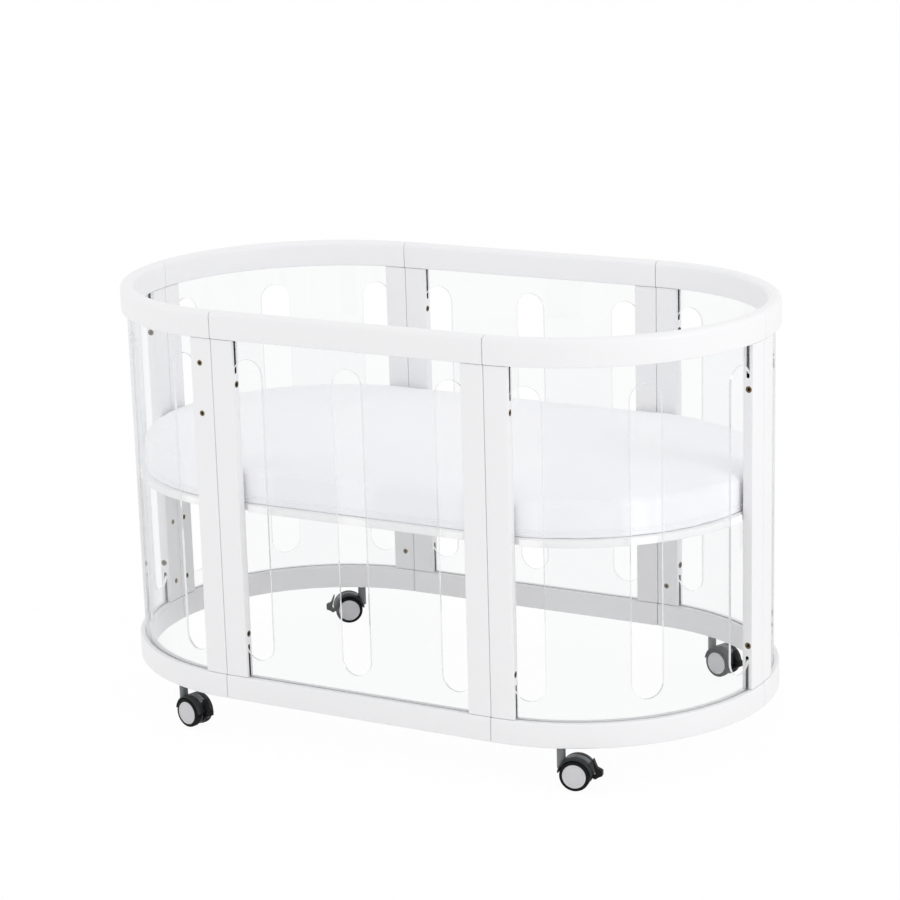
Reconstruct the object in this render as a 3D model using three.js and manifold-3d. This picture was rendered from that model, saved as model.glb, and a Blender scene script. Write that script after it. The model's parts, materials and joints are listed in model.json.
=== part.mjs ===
// Oval baby crib on casters, in millimetres, +Z up, origin on the floor under the crib's centre.
// Six wall panels stand end to end round the oval: a straight one at the front and at the back,
// and four quarter rounds. Each panel is a top rail, a bottom rail, two posts and a clear sheet.
import * as THREE from 'three';
import { mergeVertices } from 'three/addons/utils/BufferGeometryUtils.js';
import Module from 'manifold-3d';

const wasm = await Module();
wasm.setup();

// ---- driving dimensions -------------------------------------------------------------------
const straightLength = 555;      // seam to seam along the front and back panels
const outerRadius = 370;         // outside of the rounded ends, so the crib is 740 wide
const railThickness = 26;
const frameBottom = 75;          // underside of the bottom rails
const bottomRailHeight = 46;
const windowHeight = 640;        // from the bottom rail up to the top rail
const topRailHeight = 50;
const topRailRound = 9;          // round on the top rail's upper edges
const bottomRailRound = 3;
const railChamfer = 2;           // small chamfers on the rails' lower edges

const postWidth = 45;
const postDepth = 20;
const tongueStart = 1;           // the posts' end tongues sit in the rails' grooves
const tongueSheetGap = 3;        // along the groove, from a tongue to the clear sheet
const tongueRoot = 2;            // how far a tongue's solid reaches back into its post

const sheetThickness = 5;
const sheetGrooveDepth = 8;
const sheetGrooveClearance = 0.5;   // on each side of the sheet, and under its edge
const sheetTabInPost = 8;           // how far the sheet's corners reach into the posts
const postGrooveHeight = 63;
const postGrooveMargin = 1;         // the posts' grooves are this much deeper than the sheet needs
const slotWidth = 59;
const slotMargin = 35;              // from a rail to the end of a slot
const firstSlotEdge = 100;          // from a seam to the far edge of the first slot
const tabTrim = 20;                 // beyond this, from a slot's end, the sheet's edge is cut away

const connectorInset = 1.4;         // the connecting bolts run this far inside the centre line
const connectorFromRail = 83;
const connectorBore = 6.6;
const connectorHeadBore = 12;
const connectorHeadDepth = 2;

const insertBore = 8;
const insertDepth = 10;
const insertFromSeam = 20;
const insertRows = [39, 163, 287];          // above the bottom rail, where the base can be fixed
const outerInsertFromSeam = 25;
const outerInsertRows = [141, 47];          // below the top rail

const baseThickness = 13;
const baseAboveInsert = 30;         // from the upper insert row to the underside of the base
const baseSheetGap = 2.5;           // between the base's rim and the sheets
const baseNotchGap = 8;             // beside and behind each pair of posts
const baseNotchDepthGap = 4;
const bracketWidth = 30;
const bracketThickness = 3;
const bracketReach = 30;
const bracketDrop = 45;
const bracketScrewBore = 6.5;
const bracketPostGap = 0.7;

const mattressThickness = 64;
const mattressRound = 18;
const mattressRailGap = 2;          // beside the mattress as it lifts out through the top rails

const casterAngle = 20;             // along the quarter rail, from the straight panel's seam
const wheelDiameter = 56;
const wheelWidth = 14.5;
const wheelWebGap = 1;
const webThickness = 12;
const casterTrail = 28.5;           // from the swivel axis to the wheels' axle
const hubDiameter = 44;
const axleDiameter = 8;
const hoodWheelGap = 1.6;
const hoodWall = 3.4;
const hoodWidth = 39;
const hoodJoin = 1;                 // how far the hood's shell and web run into each other
const barrelDiameter = 16;
const stemDiameter = 8;
const stemBearingDiameter = 10;
const stemCover = 6;                // wood between a stem's bore and the sheet's groove above it
const stemTopGap = 1;
const stemInBarrel = 20;
const collarThickness = 1.9;
const barrelInWeb = 18;             // how far the barrel runs down past the stem, into the web
const hoodTailAngle = 5;            // the hood's shell runs over the wheels between these angles,
const hoodNoseAngle = 172;          // which are measured up from the tail, round the axle
const hoodCheekRelief = 3;          // the web's lower edge is this far inside the tread
const axleInHub = 4;                // how much of each hub covers the end of the axle
const leverWidth = 11;
const leverNeck = 5.2;
const leverNeckGap = 0.4;           // on each side of the lever's neck, in the hood's slot
const leverPin = 4;
const leverPinInset = 9.5;          // from the outside of the shell in to the lever's pin
const leverPinDrop = 3;             // from the axle's height down to the lever's pin
const leverRoom = 5.5;              // round the lever's pin, in the slot

const gap = 0.3;                    // between pieces that touch
const overcut = 5;                  // how far a cutting tool runs past what it cuts
const arcSteps = 16;                // facets along a quarter round
const ovalEndFacets = 26;           // facets round one end of the base and the mattress
const boreSides = 8;
const pinSides = 12;                // facets of axles, bearings and their bores
const wheelSides = 20;

// ---- sizes that follow ----------------------------------------------------------------------
const halfStraight = straightLength / 2;
const wallRadius = outerRadius - railThickness / 2;     // centre line of the walls
const quarterLength = wallRadius * Math.PI / 2;
const windowBottom = frameBottom + bottomRailHeight;
const windowTop = windowBottom + windowHeight;
const frameTop = windowTop + topRailHeight;
const sheetGroove = sheetThickness + 2 * sheetGrooveClearance;
const sheetEdgeInGroove = sheetGrooveDepth - sheetGrooveClearance;
const stemBoreDepth = bottomRailHeight - sheetGrooveDepth - stemCover;
const insertHeights = insertRows.map((row) => windowBottom + row);
const outerInsertHeights = outerInsertRows.map((row) => windowTop - row);
const baseBottom = Math.max(...insertHeights) + baseAboveInsert;
const baseTop = baseBottom + baseThickness;

// ---- booleans -----------------------------------------------------------------------------
function toSolid(geometry) {
  const bare = geometry.clone();
  bare.deleteAttribute('normal');
  bare.deleteAttribute('uv');
  const merged = mergeVertices(bare, 1e-4);
  const vertProperties = new Float32Array(merged.attributes.position.array);
  const triVerts = new Uint32Array(merged.index.array);
  return new wasm.Manifold(new wasm.Mesh({ numProp: 3, vertProperties, triVerts }));
}

function toGeometry(solid) {
  const mesh = solid.getMesh();
  const geometry = new THREE.BufferGeometry();
  geometry.setAttribute('position', new THREE.BufferAttribute(mesh.vertProperties.slice(), 3));
  geometry.setIndex(new THREE.BufferAttribute(mesh.triVerts.slice(), 1));
  return geometry;
}

function combine(base, added, removed) {
  let solid = toSolid(base);
  for (const piece of added) {
    solid = solid.add(toSolid(piece));
  }
  for (const piece of removed) {
    solid = solid.subtract(toSolid(piece));
  }
  return toGeometry(solid);
}

// ---- walls --------------------------------------------------------------------------------
// A wall's own coordinates are u (outwards from its centre line), v (up) and w (along it, from
// its first seam). place(w) is the rigid move to that distance along the wall, and sweep() runs
// an outline drawn in u and v along the wall.
const straightWall = {
  length: straightLength,
  place(w) {
    const matrix = new THREE.Matrix4().makeBasis(
      new THREE.Vector3(0, -1, 0),
      new THREE.Vector3(0, 0, 1),
      new THREE.Vector3(-1, 0, 0)
    );
    return matrix.setPosition(halfStraight - w, -wallRadius, 0);
  },
  sweep(outline, from, to) {
    const geometry = new THREE.ExtrudeGeometry(outline, { depth: to - from, bevelEnabled: false });
    return geometry.applyMatrix4(this.place(from));
  }
};

const quarterWall = {
  length: quarterLength,
  place(w) {
    const angle = Math.PI / 2 - w / wallRadius;
    const matrix = new THREE.Matrix4().makeBasis(
      new THREE.Vector3(Math.cos(angle), Math.sin(angle), 0),
      new THREE.Vector3(0, 0, 1),
      new THREE.Vector3(Math.sin(angle), -Math.cos(angle), 0)
    );
    return matrix.setPosition(wallRadius * Math.cos(angle), wallRadius * Math.sin(angle), 0);
  },
  sweep(outline, from, to) {
    const steps = Math.max(2, Math.round(arcSteps * (to - from) / quarterLength));
    const options = { depth: to - from, steps, bevelEnabled: false };
    const geometry = new THREE.ExtrudeGeometry(outline, options);
    const position = geometry.attributes.position;
    for (let i = 0; i < position.count; i += 1) {
      const radius = wallRadius + position.getX(i);
      const angle = Math.PI / 2 - (from + position.getZ(i)) / wallRadius;
      const height = position.getY(i);
      position.setXYZ(i, radius * Math.cos(angle), radius * Math.sin(angle), height);
    }
    return geometry;
  }
};

function box(uLow, uHigh, vLow, vHigh) {
  const shape = new THREE.Shape();
  shape.moveTo(uLow, vLow);
  shape.lineTo(uHigh, vLow);
  shape.lineTo(uHigh, vHigh);
  shape.lineTo(uLow, vHigh);
  shape.closePath();
  return shape;
}

// Cylinders in a wall's own coordinates: along it, and outwards through it.
function rodAlongWall(diameter, from, to) {
  const rod = new THREE.CylinderGeometry(diameter / 2, diameter / 2, to - from, boreSides);
  return rod.rotateX(Math.PI / 2).translate(0, 0, (from + to) / 2);
}

function rodOutwards(diameter, from, to) {
  const rod = new THREE.CylinderGeometry(diameter / 2, diameter / 2, to - from, boreSides);
  return rod.rotateZ(Math.PI / 2).translate((from + to) / 2, 0, 0);
}

function seat(geometry, wall, w, u, v) {
  return geometry.translate(u, v, 0).applyMatrix4(wall.place(w));
}

// ---- rails --------------------------------------------------------------------------------
// The outline of a rail, with the sheet's groove in the edge that faces the window.
function railOutline(bottom, top, upperRound, lowerCut, grooveAtTop) {
  const half = railThickness / 2;
  const groove = sheetGroove / 2;
  const shape = new THREE.Shape();
  shape.moveTo(-half + lowerCut, bottom);
  if (!grooveAtTop) {
    shape.lineTo(-groove, bottom);
    shape.lineTo(-groove, bottom + sheetGrooveDepth);
    shape.lineTo(groove, bottom + sheetGrooveDepth);
    shape.lineTo(groove, bottom);
  }
  shape.lineTo(half - lowerCut, bottom);
  shape.lineTo(half, bottom + lowerCut);
  shape.lineTo(half, top - upperRound);
  shape.absarc(half - upperRound, top - upperRound, upperRound, 0, Math.PI / 2, false);
  if (grooveAtTop) {
    shape.lineTo(groove, top);
    shape.lineTo(groove, top - sheetGrooveDepth);
    shape.lineTo(-groove, top - sheetGrooveDepth);
    shape.lineTo(-groove, top);
  }
  shape.absarc(-half + upperRound, top - upperRound, upperRound, Math.PI / 2, Math.PI, false);
  shape.lineTo(-half, bottom + lowerCut);
  shape.closePath();
  return shape;
}

// The flats of a faceted bore come closer to its axis than its corners do, so its corners go out
// far enough for the flats to clear what turns or sits inside.
function boreCorners(diameter, sides) {
  return (diameter / 2 + gap) / Math.cos(Math.PI / sides);
}

// Turns a shape's arcs into straight facets: getPoints gives an arc twice its number.
function sampled(shape, facetsPerArc) {
  return new THREE.Shape(shape.getPoints(facetsPerArc / 2));
}

function topRail(wall) {
  const outline = railOutline(windowTop, frameTop, topRailRound, railChamfer, false);
  return wall.sweep(sampled(outline, 3), gap / 2, wall.length - gap / 2);
}

function bottomRail(wall, stemAt) {
  const outline = railOutline(frameBottom, windowBottom, bottomRailRound, railChamfer, true);
  const rail = wall.sweep(sampled(outline, 2), gap / 2, wall.length - gap / 2);
  if (stemAt === null) {
    return rail;
  }
  const radius = boreCorners(stemDiameter, boreSides);
  const bore = new THREE.CylinderGeometry(radius, radius, 2 * stemBoreDepth, boreSides);
  return combine(rail, [], [seat(bore, wall, stemAt, 0, frameBottom)]);
}

// ---- posts --------------------------------------------------------------------------------
// atStart says which of the panel's two seams the post stands at.
function post(wall, atStart, insertsInside, insertsOutside) {
  const seam = atStart ? 0 : wall.length;
  const inwards = atStart ? 1 : -1;
  const fromSeam = (near, far) => [inwards * near, inwards * far].sort((a, b) => a - b);
  const along = (near, far) => fromSeam(near, far).map((w) => seam + w);
  const halfDepth = postDepth / 2;
  const body = wall.sweep(
    box(-halfDepth, halfDepth, windowBottom + gap, windowTop - gap),
    ...along(gap / 2, postWidth)
  );

  const halfTongue = sheetThickness / 2;
  const tongueReach = sheetEdgeInGroove;
  const tongueSpan = along(tongueStart, postWidth - sheetTabInPost - tongueSheetGap);
  const upper = box(-halfTongue, halfTongue, windowTop - tongueRoot, windowTop + tongueReach);
  const lower = box(-halfTongue, halfTongue, windowBottom - tongueReach, windowBottom + tongueRoot);
  const tongues = [wall.sweep(upper, ...tongueSpan), wall.sweep(lower, ...tongueSpan)];

  const cuts = [];
  const halfGroove = sheetGroove / 2;
  const grooveDepth = sheetTabInPost + postGrooveMargin;
  const grooveSpan = along(postWidth - grooveDepth, postWidth + overcut);
  for (const [rail, direction] of [[windowTop, -1], [windowBottom, 1]]) {
    const end = rail + direction * (postGrooveHeight - halfGroove);
    const groove = new THREE.Shape();
    groove.moveTo(-halfGroove, rail - direction * overcut);
    groove.lineTo(-halfGroove, end);
    groove.absarc(0, end, halfGroove, Math.PI, 0, direction > 0);
    groove.lineTo(halfGroove, rail - direction * overcut);
    groove.closePath();
    cuts.push(wall.sweep(sampled(groove, 4), ...grooveSpan));
  }

  const headSeat = postWidth - connectorHeadDepth;
  for (const height of [windowTop - connectorFromRail, windowBottom + connectorFromRail]) {
    const bore = rodAlongWall(connectorBore, ...fromSeam(-overcut, postWidth + overcut));
    const head = rodAlongWall(connectorHeadBore, ...fromSeam(headSeat, postWidth + overcut));
    cuts.push(seat(bore, wall, seam, -connectorInset, height));
    cuts.push(seat(head, wall, seam, -connectorInset, height));
  }

  if (insertsInside) {
    for (const height of insertHeights) {
      const hole = rodOutwards(insertBore, -halfDepth - overcut, insertDepth - halfDepth);
      cuts.push(seat(hole, wall, seam + inwards * insertFromSeam, 0, height));
    }
  }
  if (insertsOutside) {
    for (const height of outerInsertHeights) {
      const hole = rodOutwards(insertBore, halfDepth - insertDepth, halfDepth + overcut);
      cuts.push(seat(hole, wall, seam + inwards * outerInsertFromSeam, 0, height));
    }
  }
  return combine(body, tongues, cuts);
}

// ---- clear sheets -------------------------------------------------------------------------
// A slot drawn along the wall and up, cut through the sheet in the u direction.
function slotTool(outline) {
  const depth = 4 * sheetThickness;
  const tool = new THREE.ExtrudeGeometry(outline, { depth, bevelEnabled: false });
  return tool.translate(0, 0, -depth / 2).rotateY(-Math.PI / 2);
}

function capsule(width, bottom, top) {
  const half = width / 2;
  const shape = new THREE.Shape();
  shape.moveTo(half, bottom + half);
  shape.lineTo(half, top - half);
  shape.absarc(0, top - half, half, 0, Math.PI, false);
  shape.lineTo(-half, bottom + half);
  shape.absarc(0, bottom + half, half, Math.PI, 2 * Math.PI, false);
  return shape;
}

function clearSheet(wall) {
  const half = sheetThickness / 2;
  const endReach = postWidth - sheetTabInPost;
  const sheet = wall.sweep(
    box(-half, half, windowBottom - sheetEdgeInGroove, windowTop + sheetEdgeInGroove),
    endReach,
    wall.length - endReach
  );
  const slotBottom = windowBottom + slotMargin;
  const slotTop = windowTop - slotMargin;
  const firstSlot = firstSlotEdge - slotWidth / 2;
  const cuts = [];
  for (const w of [firstSlot, wall.length / 2, wall.length - firstSlot]) {
    const slot = slotTool(sampled(capsule(slotWidth, slotBottom, slotTop), 8));
    cuts.push(seat(slot, wall, w, 0, 0));
  }
  const trimWidth = firstSlot - endReach + 2;
  for (const [w, side] of [[firstSlot, -1], [wall.length - firstSlot, 1]]) {
    const low = side < 0 ? -trimWidth : 0;
    const outline = box(low, low + trimWidth, slotBottom + tabTrim, slotTop - tabTrim);
    cuts.push(seat(slotTool(outline), wall, w, 0, 0));
  }
  return combine(sheet, [], cuts);
}

// ---- mattress base, brackets and mattress -------------------------------------------------
function ovalShape(radius) {
  const shape = new THREE.Shape();
  shape.moveTo(-halfStraight, -radius);
  shape.lineTo(halfStraight, -radius);
  shape.absarc(halfStraight, 0, radius, -Math.PI / 2, Math.PI / 2, false);
  shape.lineTo(-halfStraight, radius);
  shape.absarc(-halfStraight, 0, radius, Math.PI / 2, 3 * Math.PI / 2, false);
  return sampled(shape, ovalEndFacets);
}

function mattressBase(panels) {
  const rim = wallRadius - sheetThickness / 2 - baseSheetGap;
  const options = { depth: baseThickness, bevelEnabled: false };
  const board = new THREE.ExtrudeGeometry(ovalShape(rim), options).translate(0, 0, baseBottom);
  const notchLength = postWidth + baseNotchGap;
  const notch = box(
    -postDepth / 2 - baseNotchDepthGap, postDepth,
    baseBottom - overcut, baseTop + overcut
  );
  const pastSeam = 1;
  const cuts = [];
  for (const { wall, matrix } of panels) {
    const atStart = wall.sweep(notch, -pastSeam, notchLength);
    const atEnd = wall.sweep(notch, wall.length - notchLength, wall.length + pastSeam);
    cuts.push(atStart.applyMatrix4(matrix), atEnd.applyMatrix4(matrix));
  }
  return combine(board, [], cuts);
}

function baseBracket(seamAtStart) {
  const faceOfPost = -postDepth / 2 - bracketPostGap;
  const top = baseBottom - gap;
  const outline = new THREE.Shape();
  outline.moveTo(faceOfPost, top);
  outline.lineTo(faceOfPost - bracketReach, top);
  outline.lineTo(faceOfPost - bracketReach, top - bracketThickness);
  outline.lineTo(faceOfPost - bracketThickness, top - bracketThickness);
  outline.lineTo(faceOfPost - bracketThickness, top - bracketDrop);
  outline.lineTo(faceOfPost, top - bracketDrop);
  outline.closePath();
  const plate = new THREE.ExtrudeGeometry(outline, { depth: bracketWidth, bevelEnabled: false });
  plate.translate(0, 0, -bracketWidth / 2);
  const hole = rodOutwards(bracketScrewBore, faceOfPost - 2 * bracketThickness, faceOfPost + overcut);
  hole.translate(0, baseBottom - baseAboveInsert, 0);
  const w = seamAtStart ? insertFromSeam : quarterLength - insertFromSeam;
  return combine(plate, [], [hole]).applyMatrix4(quarterWall.place(w));
}

function mattress() {
  const radius = outerRadius - railThickness - mattressRailGap;
  const geometry = new THREE.ExtrudeGeometry(ovalShape(radius - mattressRound), {
    depth: mattressThickness - 2 * mattressRound,
    bevelEnabled: true,
    bevelThickness: mattressRound,
    bevelSize: mattressRound,
    bevelSegments: 2
  });
  return geometry.translate(0, 0, baseTop + gap + mattressRound);
}

// ---- casters ------------------------------------------------------------------------------
// A caster's own frame: its swivel axis is Z, and its wheels trail along +X.
const wheelRadius = wheelDiameter / 2;
const wheelInner = webThickness / 2 + wheelWebGap;
const wheelOuter = wheelInner + wheelWidth;
const hoodInnerRadius = wheelRadius + hoodWheelGap;
const hoodOuterRadius = hoodInnerRadius + hoodWall;
const collarTop = frameBottom - gap;
const barrelTop = collarTop - collarThickness - gap;
const stemBottom = barrelTop - stemInBarrel;
const degree = Math.PI / 180;
const leverPinX = casterTrail + hoodOuterRadius - leverPinInset;
const leverPinZ = wheelRadius - leverPinDrop;

function turned(points, sides) {
  return new THREE.LatheGeometry(points.map(([r, h]) => new THREE.Vector2(r, h)), sides);
}

function stem() {
  const pin = stemDiameter / 2;
  const bearing = stemBearingDiameter / 2;
  const collar = barrelDiameter / 2;
  const stemTop = frameBottom + stemBoreDepth - stemTopGap;
  return turned([
    [0, stemBottom], [bearing, stemBottom], [bearing, collarTop - collarThickness],
    [collar, collarTop - collarThickness], [collar, collarTop], [pin, collarTop],
    [pin, stemTop], [0, stemTop]
  ], 10).rotateX(Math.PI / 2);
}

function extrudedAcross(shape, width) {
  const options = { depth: width, bevelEnabled: false };
  const geometry = new THREE.ExtrudeGeometry(shape, options);
  return geometry.translate(0, 0, -width / 2).rotateX(Math.PI / 2);
}

function rodAcross(diameter, length, sides, x, z) {
  const rod = new THREE.CylinderGeometry(diameter / 2, diameter / 2, length, sides);
  return rod.translate(x, 0, z);
}

// The hood: a barrel for the stem, a web between the wheels and a shell over their upper half.
function hood() {
  const shellTail = hoodTailAngle * degree;
  const shellNose = hoodNoseAngle * degree;
  const shell = new THREE.Shape();
  shell.absarc(casterTrail, wheelRadius, hoodOuterRadius, shellTail, shellNose, false);
  shell.absarc(casterTrail, wheelRadius, hoodInnerRadius - hoodJoin, shellNose, shellTail, true);

  const web = new THREE.Shape();
  const cheek = hoodInnerRadius - hoodCheekRelief;
  const inShell = hoodOuterRadius - hoodJoin;
  web.absarc(casterTrail, wheelRadius, inShell, 12 * degree, 168 * degree, false);
  web.absarc(casterTrail, wheelRadius, cheek, 190 * degree, 348 * degree, false);

  const barrelLength = barrelTop - stemBottom + barrelInWeb;
  const barrel = new THREE.CylinderGeometry(
    barrelDiameter / 2, barrelDiameter / 2, barrelLength, 14
  );
  barrel.rotateX(Math.PI / 2).translate(0, 0, barrelTop - barrelLength / 2);

  const cuts = [];
  for (const side of [-1, 1]) {
    const room = rodAcross(2 * hoodInnerRadius, hoodWidth, 30, casterTrail, wheelRadius);
    cuts.push(room.translate(0, side * (webThickness + hoodWidth) / 2, 0));
  }
  const axleBore = 2 * boreCorners(axleDiameter, pinSides);
  cuts.push(rodAcross(axleBore, webThickness + 2 * overcut, pinSides, casterTrail, wheelRadius));
  const bearingBore = boreCorners(stemBearingDiameter, pinSides);
  const boreLength = 2 * stemInBarrel;
  const bore = new THREE.CylinderGeometry(bearingBore, bearingBore, boreLength, pinSides);
  cuts.push(bore.rotateX(Math.PI / 2).translate(0, 0, stemBottom - gap + boreLength / 2));

  const slot = box(
    leverPinX - leverRoom, leverPinX + 2 * leverPinInset,
    leverPinZ - wheelRadius, leverPinZ + leverRoom
  );
  cuts.push(extrudedAcross(slot, leverNeck + 2 * leverNeckGap));
  const leverBore = 2 * boreCorners(leverPin, boreSides);
  cuts.push(rodAcross(leverBore, webThickness + 2 * overcut, boreSides, leverPinX, leverPinZ));
  return combine(
    extrudedAcross(sampled(shell, 14), hoodWidth),
    [extrudedAcross(sampled(web, 12), webThickness), barrel],
    cuts
  );
}

// Tyre, core and hub disc of one wheel, with its bore open towards the web.
function wheel(side) {
  const tread = wheelRadius / Math.cos(Math.PI / wheelSides);
  const bore = boreCorners(axleDiameter, wheelSides);
  const hub = hubDiameter / 2;
  const geometry = turned([
    [0, wheelOuter - axleInHub], [bore, wheelOuter - axleInHub], [bore, wheelInner],
    [tread - 2, wheelInner], [tread, wheelInner + 2], [tread, wheelOuter - 3],
    [tread - 2.5, wheelOuter - 0.5], [hub + 0.6, wheelOuter - 1.2], [hub, wheelOuter], [0, wheelOuter]
  ], wheelSides);
  geometry.rotateY(Math.PI / wheelSides);
  if (side < 0) {
    geometry.rotateX(Math.PI);
  }
  return geometry.translate(casterTrail, 0, wheelRadius);
}

function axle() {
  const length = 2 * (wheelOuter - axleInHub - gap);
  return rodAcross(axleDiameter, length, pinSides, casterTrail, wheelRadius);
}

// The brake lever turns on its own pin between the hood's cheeks; its pedal is outside the shell.
// The outline goes round a pedal tab and a thin fin above it. Its points are distances out from
// the shell and up from the axle.
function brakeLever() {
  const shellX = casterTrail + hoodOuterRadius;
  const outline = [
    [-2.8, -6], [1.5, -8], [7.5, -3.5], [14.3, -0.5], [14.3, 9], [11.5, 10.8],
    [4.5, 14], [-2, 29.5], [-3.8, 29], [1.6, 8], [1.2, 2], [-1.5, -1.5]
  ];
  const points = outline.map(([out, up]) => new THREE.Vector2(shellX + out, wheelRadius + up));
  const pedal = new THREE.Shape(points);
  const neck = new THREE.Shape();
  neck.absarc(leverPinX, leverPinZ, leverPin, Math.PI / 2, 3 * Math.PI / 2, false);
  neck.lineTo(shellX + 1, wheelRadius - 7);
  neck.lineTo(shellX + 1, wheelRadius - 0.5);
  const pin = rodAcross(leverPin, webThickness - 1, boreSides, leverPinX, leverPinZ);
  return combine(
    extrudedAcross(pedal, leverWidth),
    [extrudedAcross(sampled(neck, 8), leverNeck), pin],
    []
  );
}

// ---- materials ----------------------------------------------------------------------------
function material(colour, roughness, metalness) {
  return new THREE.MeshStandardMaterial({ color: colour, roughness, metalness });
}

const paints = {
  paintedWood: () => material('#efeff1', 0.4, 0),
  acrylic: () => material('#f4f8fa', 0.05, 0),
  board: () => material('#f1f1f1', 0.55, 0),
  steel: () => material('#8d8f91', 0.35, 1),
  fabric: () => material('#f7f7fa', 0.9, 0),
  hoodPlastic: () => material('#4a4f52', 0.5, 0),
  wheel: () => material('#1b1d1f', 0.7, 0),
  lever: () => material('#17191a', 0.45, 0)
};

// ---- the crib -----------------------------------------------------------------------------
const crib = new THREE.Group();

function add(parent, name, geometry, paint) {
  const mesh = new THREE.Mesh(geometry, paint());
  mesh.name = name;
  parent.add(mesh);
}

function turnAndMove(angle, x) {
  return new THREE.Matrix4().makeRotationZ(angle).setPosition(x, 0, 0);
}

// straightSeamAtStart says where a quarter panel meets a straight one. The caster and the base
// bracket of each quarter are measured from that seam.
const quarterTurn = Math.PI / 2;
const panels = [
  { name: 'front', wall: straightWall, matrix: turnAndMove(0, 0) },
  { name: 'back', wall: straightWall, matrix: turnAndMove(2 * quarterTurn, 0) },
  {
    name: 'back_right',
    wall: quarterWall,
    matrix: turnAndMove(0, halfStraight),
    straightSeamAtStart: true,
    trailAngle: -18
  },
  {
    name: 'back_left',
    wall: quarterWall,
    matrix: turnAndMove(quarterTurn, -halfStraight),
    straightSeamAtStart: false,
    trailAngle: 213
  },
  {
    name: 'front_left',
    wall: quarterWall,
    matrix: turnAndMove(2 * quarterTurn, -halfStraight),
    straightSeamAtStart: true,
    trailAngle: -14,
    outerInserts: true
  },
  {
    name: 'front_right',
    wall: quarterWall,
    matrix: turnAndMove(-quarterTurn, halfStraight),
    straightSeamAtStart: false,
    trailAngle: 10
  }
];

function stemAlong(panel) {
  const fromSeam = wallRadius * casterAngle * degree;
  return panel.straightSeamAtStart ? fromSeam : panel.wall.length - fromSeam;
}

function addPanel(panel) {
  const { name, wall } = panel;
  const isQuarter = wall === quarterWall;
  const group = new THREE.Group();
  group.applyMatrix4(panel.matrix);
  crib.add(group);
  const stemAt = isQuarter ? stemAlong(panel) : null;
  add(group, `${name}_top_rail`, topRail(wall), paints.paintedWood);
  add(group, `${name}_bottom_rail`, bottomRail(wall, stemAt), paints.paintedWood);
  for (const atStart of [true, false]) {
    let end = atStart ? 'post_a' : 'post_b';
    let outside = false;
    if (isQuarter) {
      const besideStraight = atStart === panel.straightSeamAtStart;
      end = besideStraight ? 'side_post' : 'end_post';
      outside = besideStraight && panel.outerInserts === true;
    }
    add(group, `${name}_${end}`, post(wall, atStart, isQuarter, outside), paints.paintedWood);
  }
  add(group, `${name}_clear_sheet`, clearSheet(wall), paints.acrylic);
  if (isQuarter) {
    add(group, `${name}_base_bracket`, baseBracket(panel.straightSeamAtStart), paints.steel);
  }
}

function addCaster(panel) {
  const place = panel.matrix.clone().multiply(quarterWall.place(stemAlong(panel)));
  const at = new THREE.Vector3().setFromMatrixPosition(place);
  const caster = new THREE.Group();
  caster.position.set(at.x, at.y, 0);
  caster.rotation.z = panel.trailAngle * degree;
  crib.add(caster);
  const name = `${panel.name}_caster`;
  add(caster, `${name}_stem`, stem(), paints.steel);
  add(caster, `${name}_hood`, hood(), paints.hoodPlastic);
  add(caster, `${name}_axle`, axle(), paints.steel);
  add(caster, `${name}_wheel_a`, wheel(-1), paints.wheel);
  add(caster, `${name}_wheel_b`, wheel(1), paints.wheel);
  add(caster, `${name}_brake_lever`, brakeLever(), paints.lever);
}

for (const panel of panels) {
  addPanel(panel);
  if (panel.wall === quarterWall) {
    addCaster(panel);
  }
}
add(crib, 'mattress_base', mattressBase(panels), paints.board);
add(crib, 'mattress', mattress(), paints.fabric);

export default crib;
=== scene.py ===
import json
import math

import bmesh
import bpy
import numpy as np
from mathutils import Matrix, Vector
from mathutils.bvhtree import BVHTree


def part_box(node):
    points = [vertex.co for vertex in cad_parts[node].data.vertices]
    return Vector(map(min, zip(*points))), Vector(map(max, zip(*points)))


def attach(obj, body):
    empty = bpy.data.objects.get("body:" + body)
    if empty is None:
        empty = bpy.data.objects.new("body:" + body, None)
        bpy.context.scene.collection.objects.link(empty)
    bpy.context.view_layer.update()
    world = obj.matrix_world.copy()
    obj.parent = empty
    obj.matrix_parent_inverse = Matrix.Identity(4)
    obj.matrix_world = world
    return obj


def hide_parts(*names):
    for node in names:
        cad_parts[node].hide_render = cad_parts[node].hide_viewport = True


# The looks of an oval baby crib with clear walls, on four casters. Metres, +Z up, the crib's
# front towards -Y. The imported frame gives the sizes; the values below are this script's own.
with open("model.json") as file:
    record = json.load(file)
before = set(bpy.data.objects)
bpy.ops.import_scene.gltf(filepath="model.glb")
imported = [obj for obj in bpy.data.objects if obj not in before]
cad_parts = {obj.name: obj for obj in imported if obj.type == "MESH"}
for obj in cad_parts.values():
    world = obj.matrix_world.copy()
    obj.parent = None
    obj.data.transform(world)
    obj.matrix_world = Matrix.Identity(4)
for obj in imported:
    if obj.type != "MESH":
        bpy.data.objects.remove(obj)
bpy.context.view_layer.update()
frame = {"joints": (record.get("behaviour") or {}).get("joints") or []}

MM = 0.001
UP = Vector((0, 0, 1))
ACROSS = Matrix.Rotation(math.pi / 2, 4, "X")   # turns outlines in X and Y into ones in X and Z
GAP = 0.3 * MM                  # between pieces that touch

SEAM_GAP = 0.9 * MM             # seen between two panels, and between the posts and rails
SEAM_EASE = 2.0 * MM            # round on the ends of the rails, where two panels meet
TOP_RAIL_ROUND = 9 * MM
BOTTOM_RAIL_ROUND = 3.5 * MM
RAIL_LOWER_ROUND = 2.5 * MM
GROOVE_WIDTH = 6 * MM
GROOVE_DEPTH = 8 * MM
POST_EASE = 1.8 * MM
POST_SEAM_EASE = 1.4 * MM       # where two posts meet
POST_GROOVE_HEIGHT = 63 * MM
POST_GROOVE_DEPTH = 9 * MM

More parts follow.
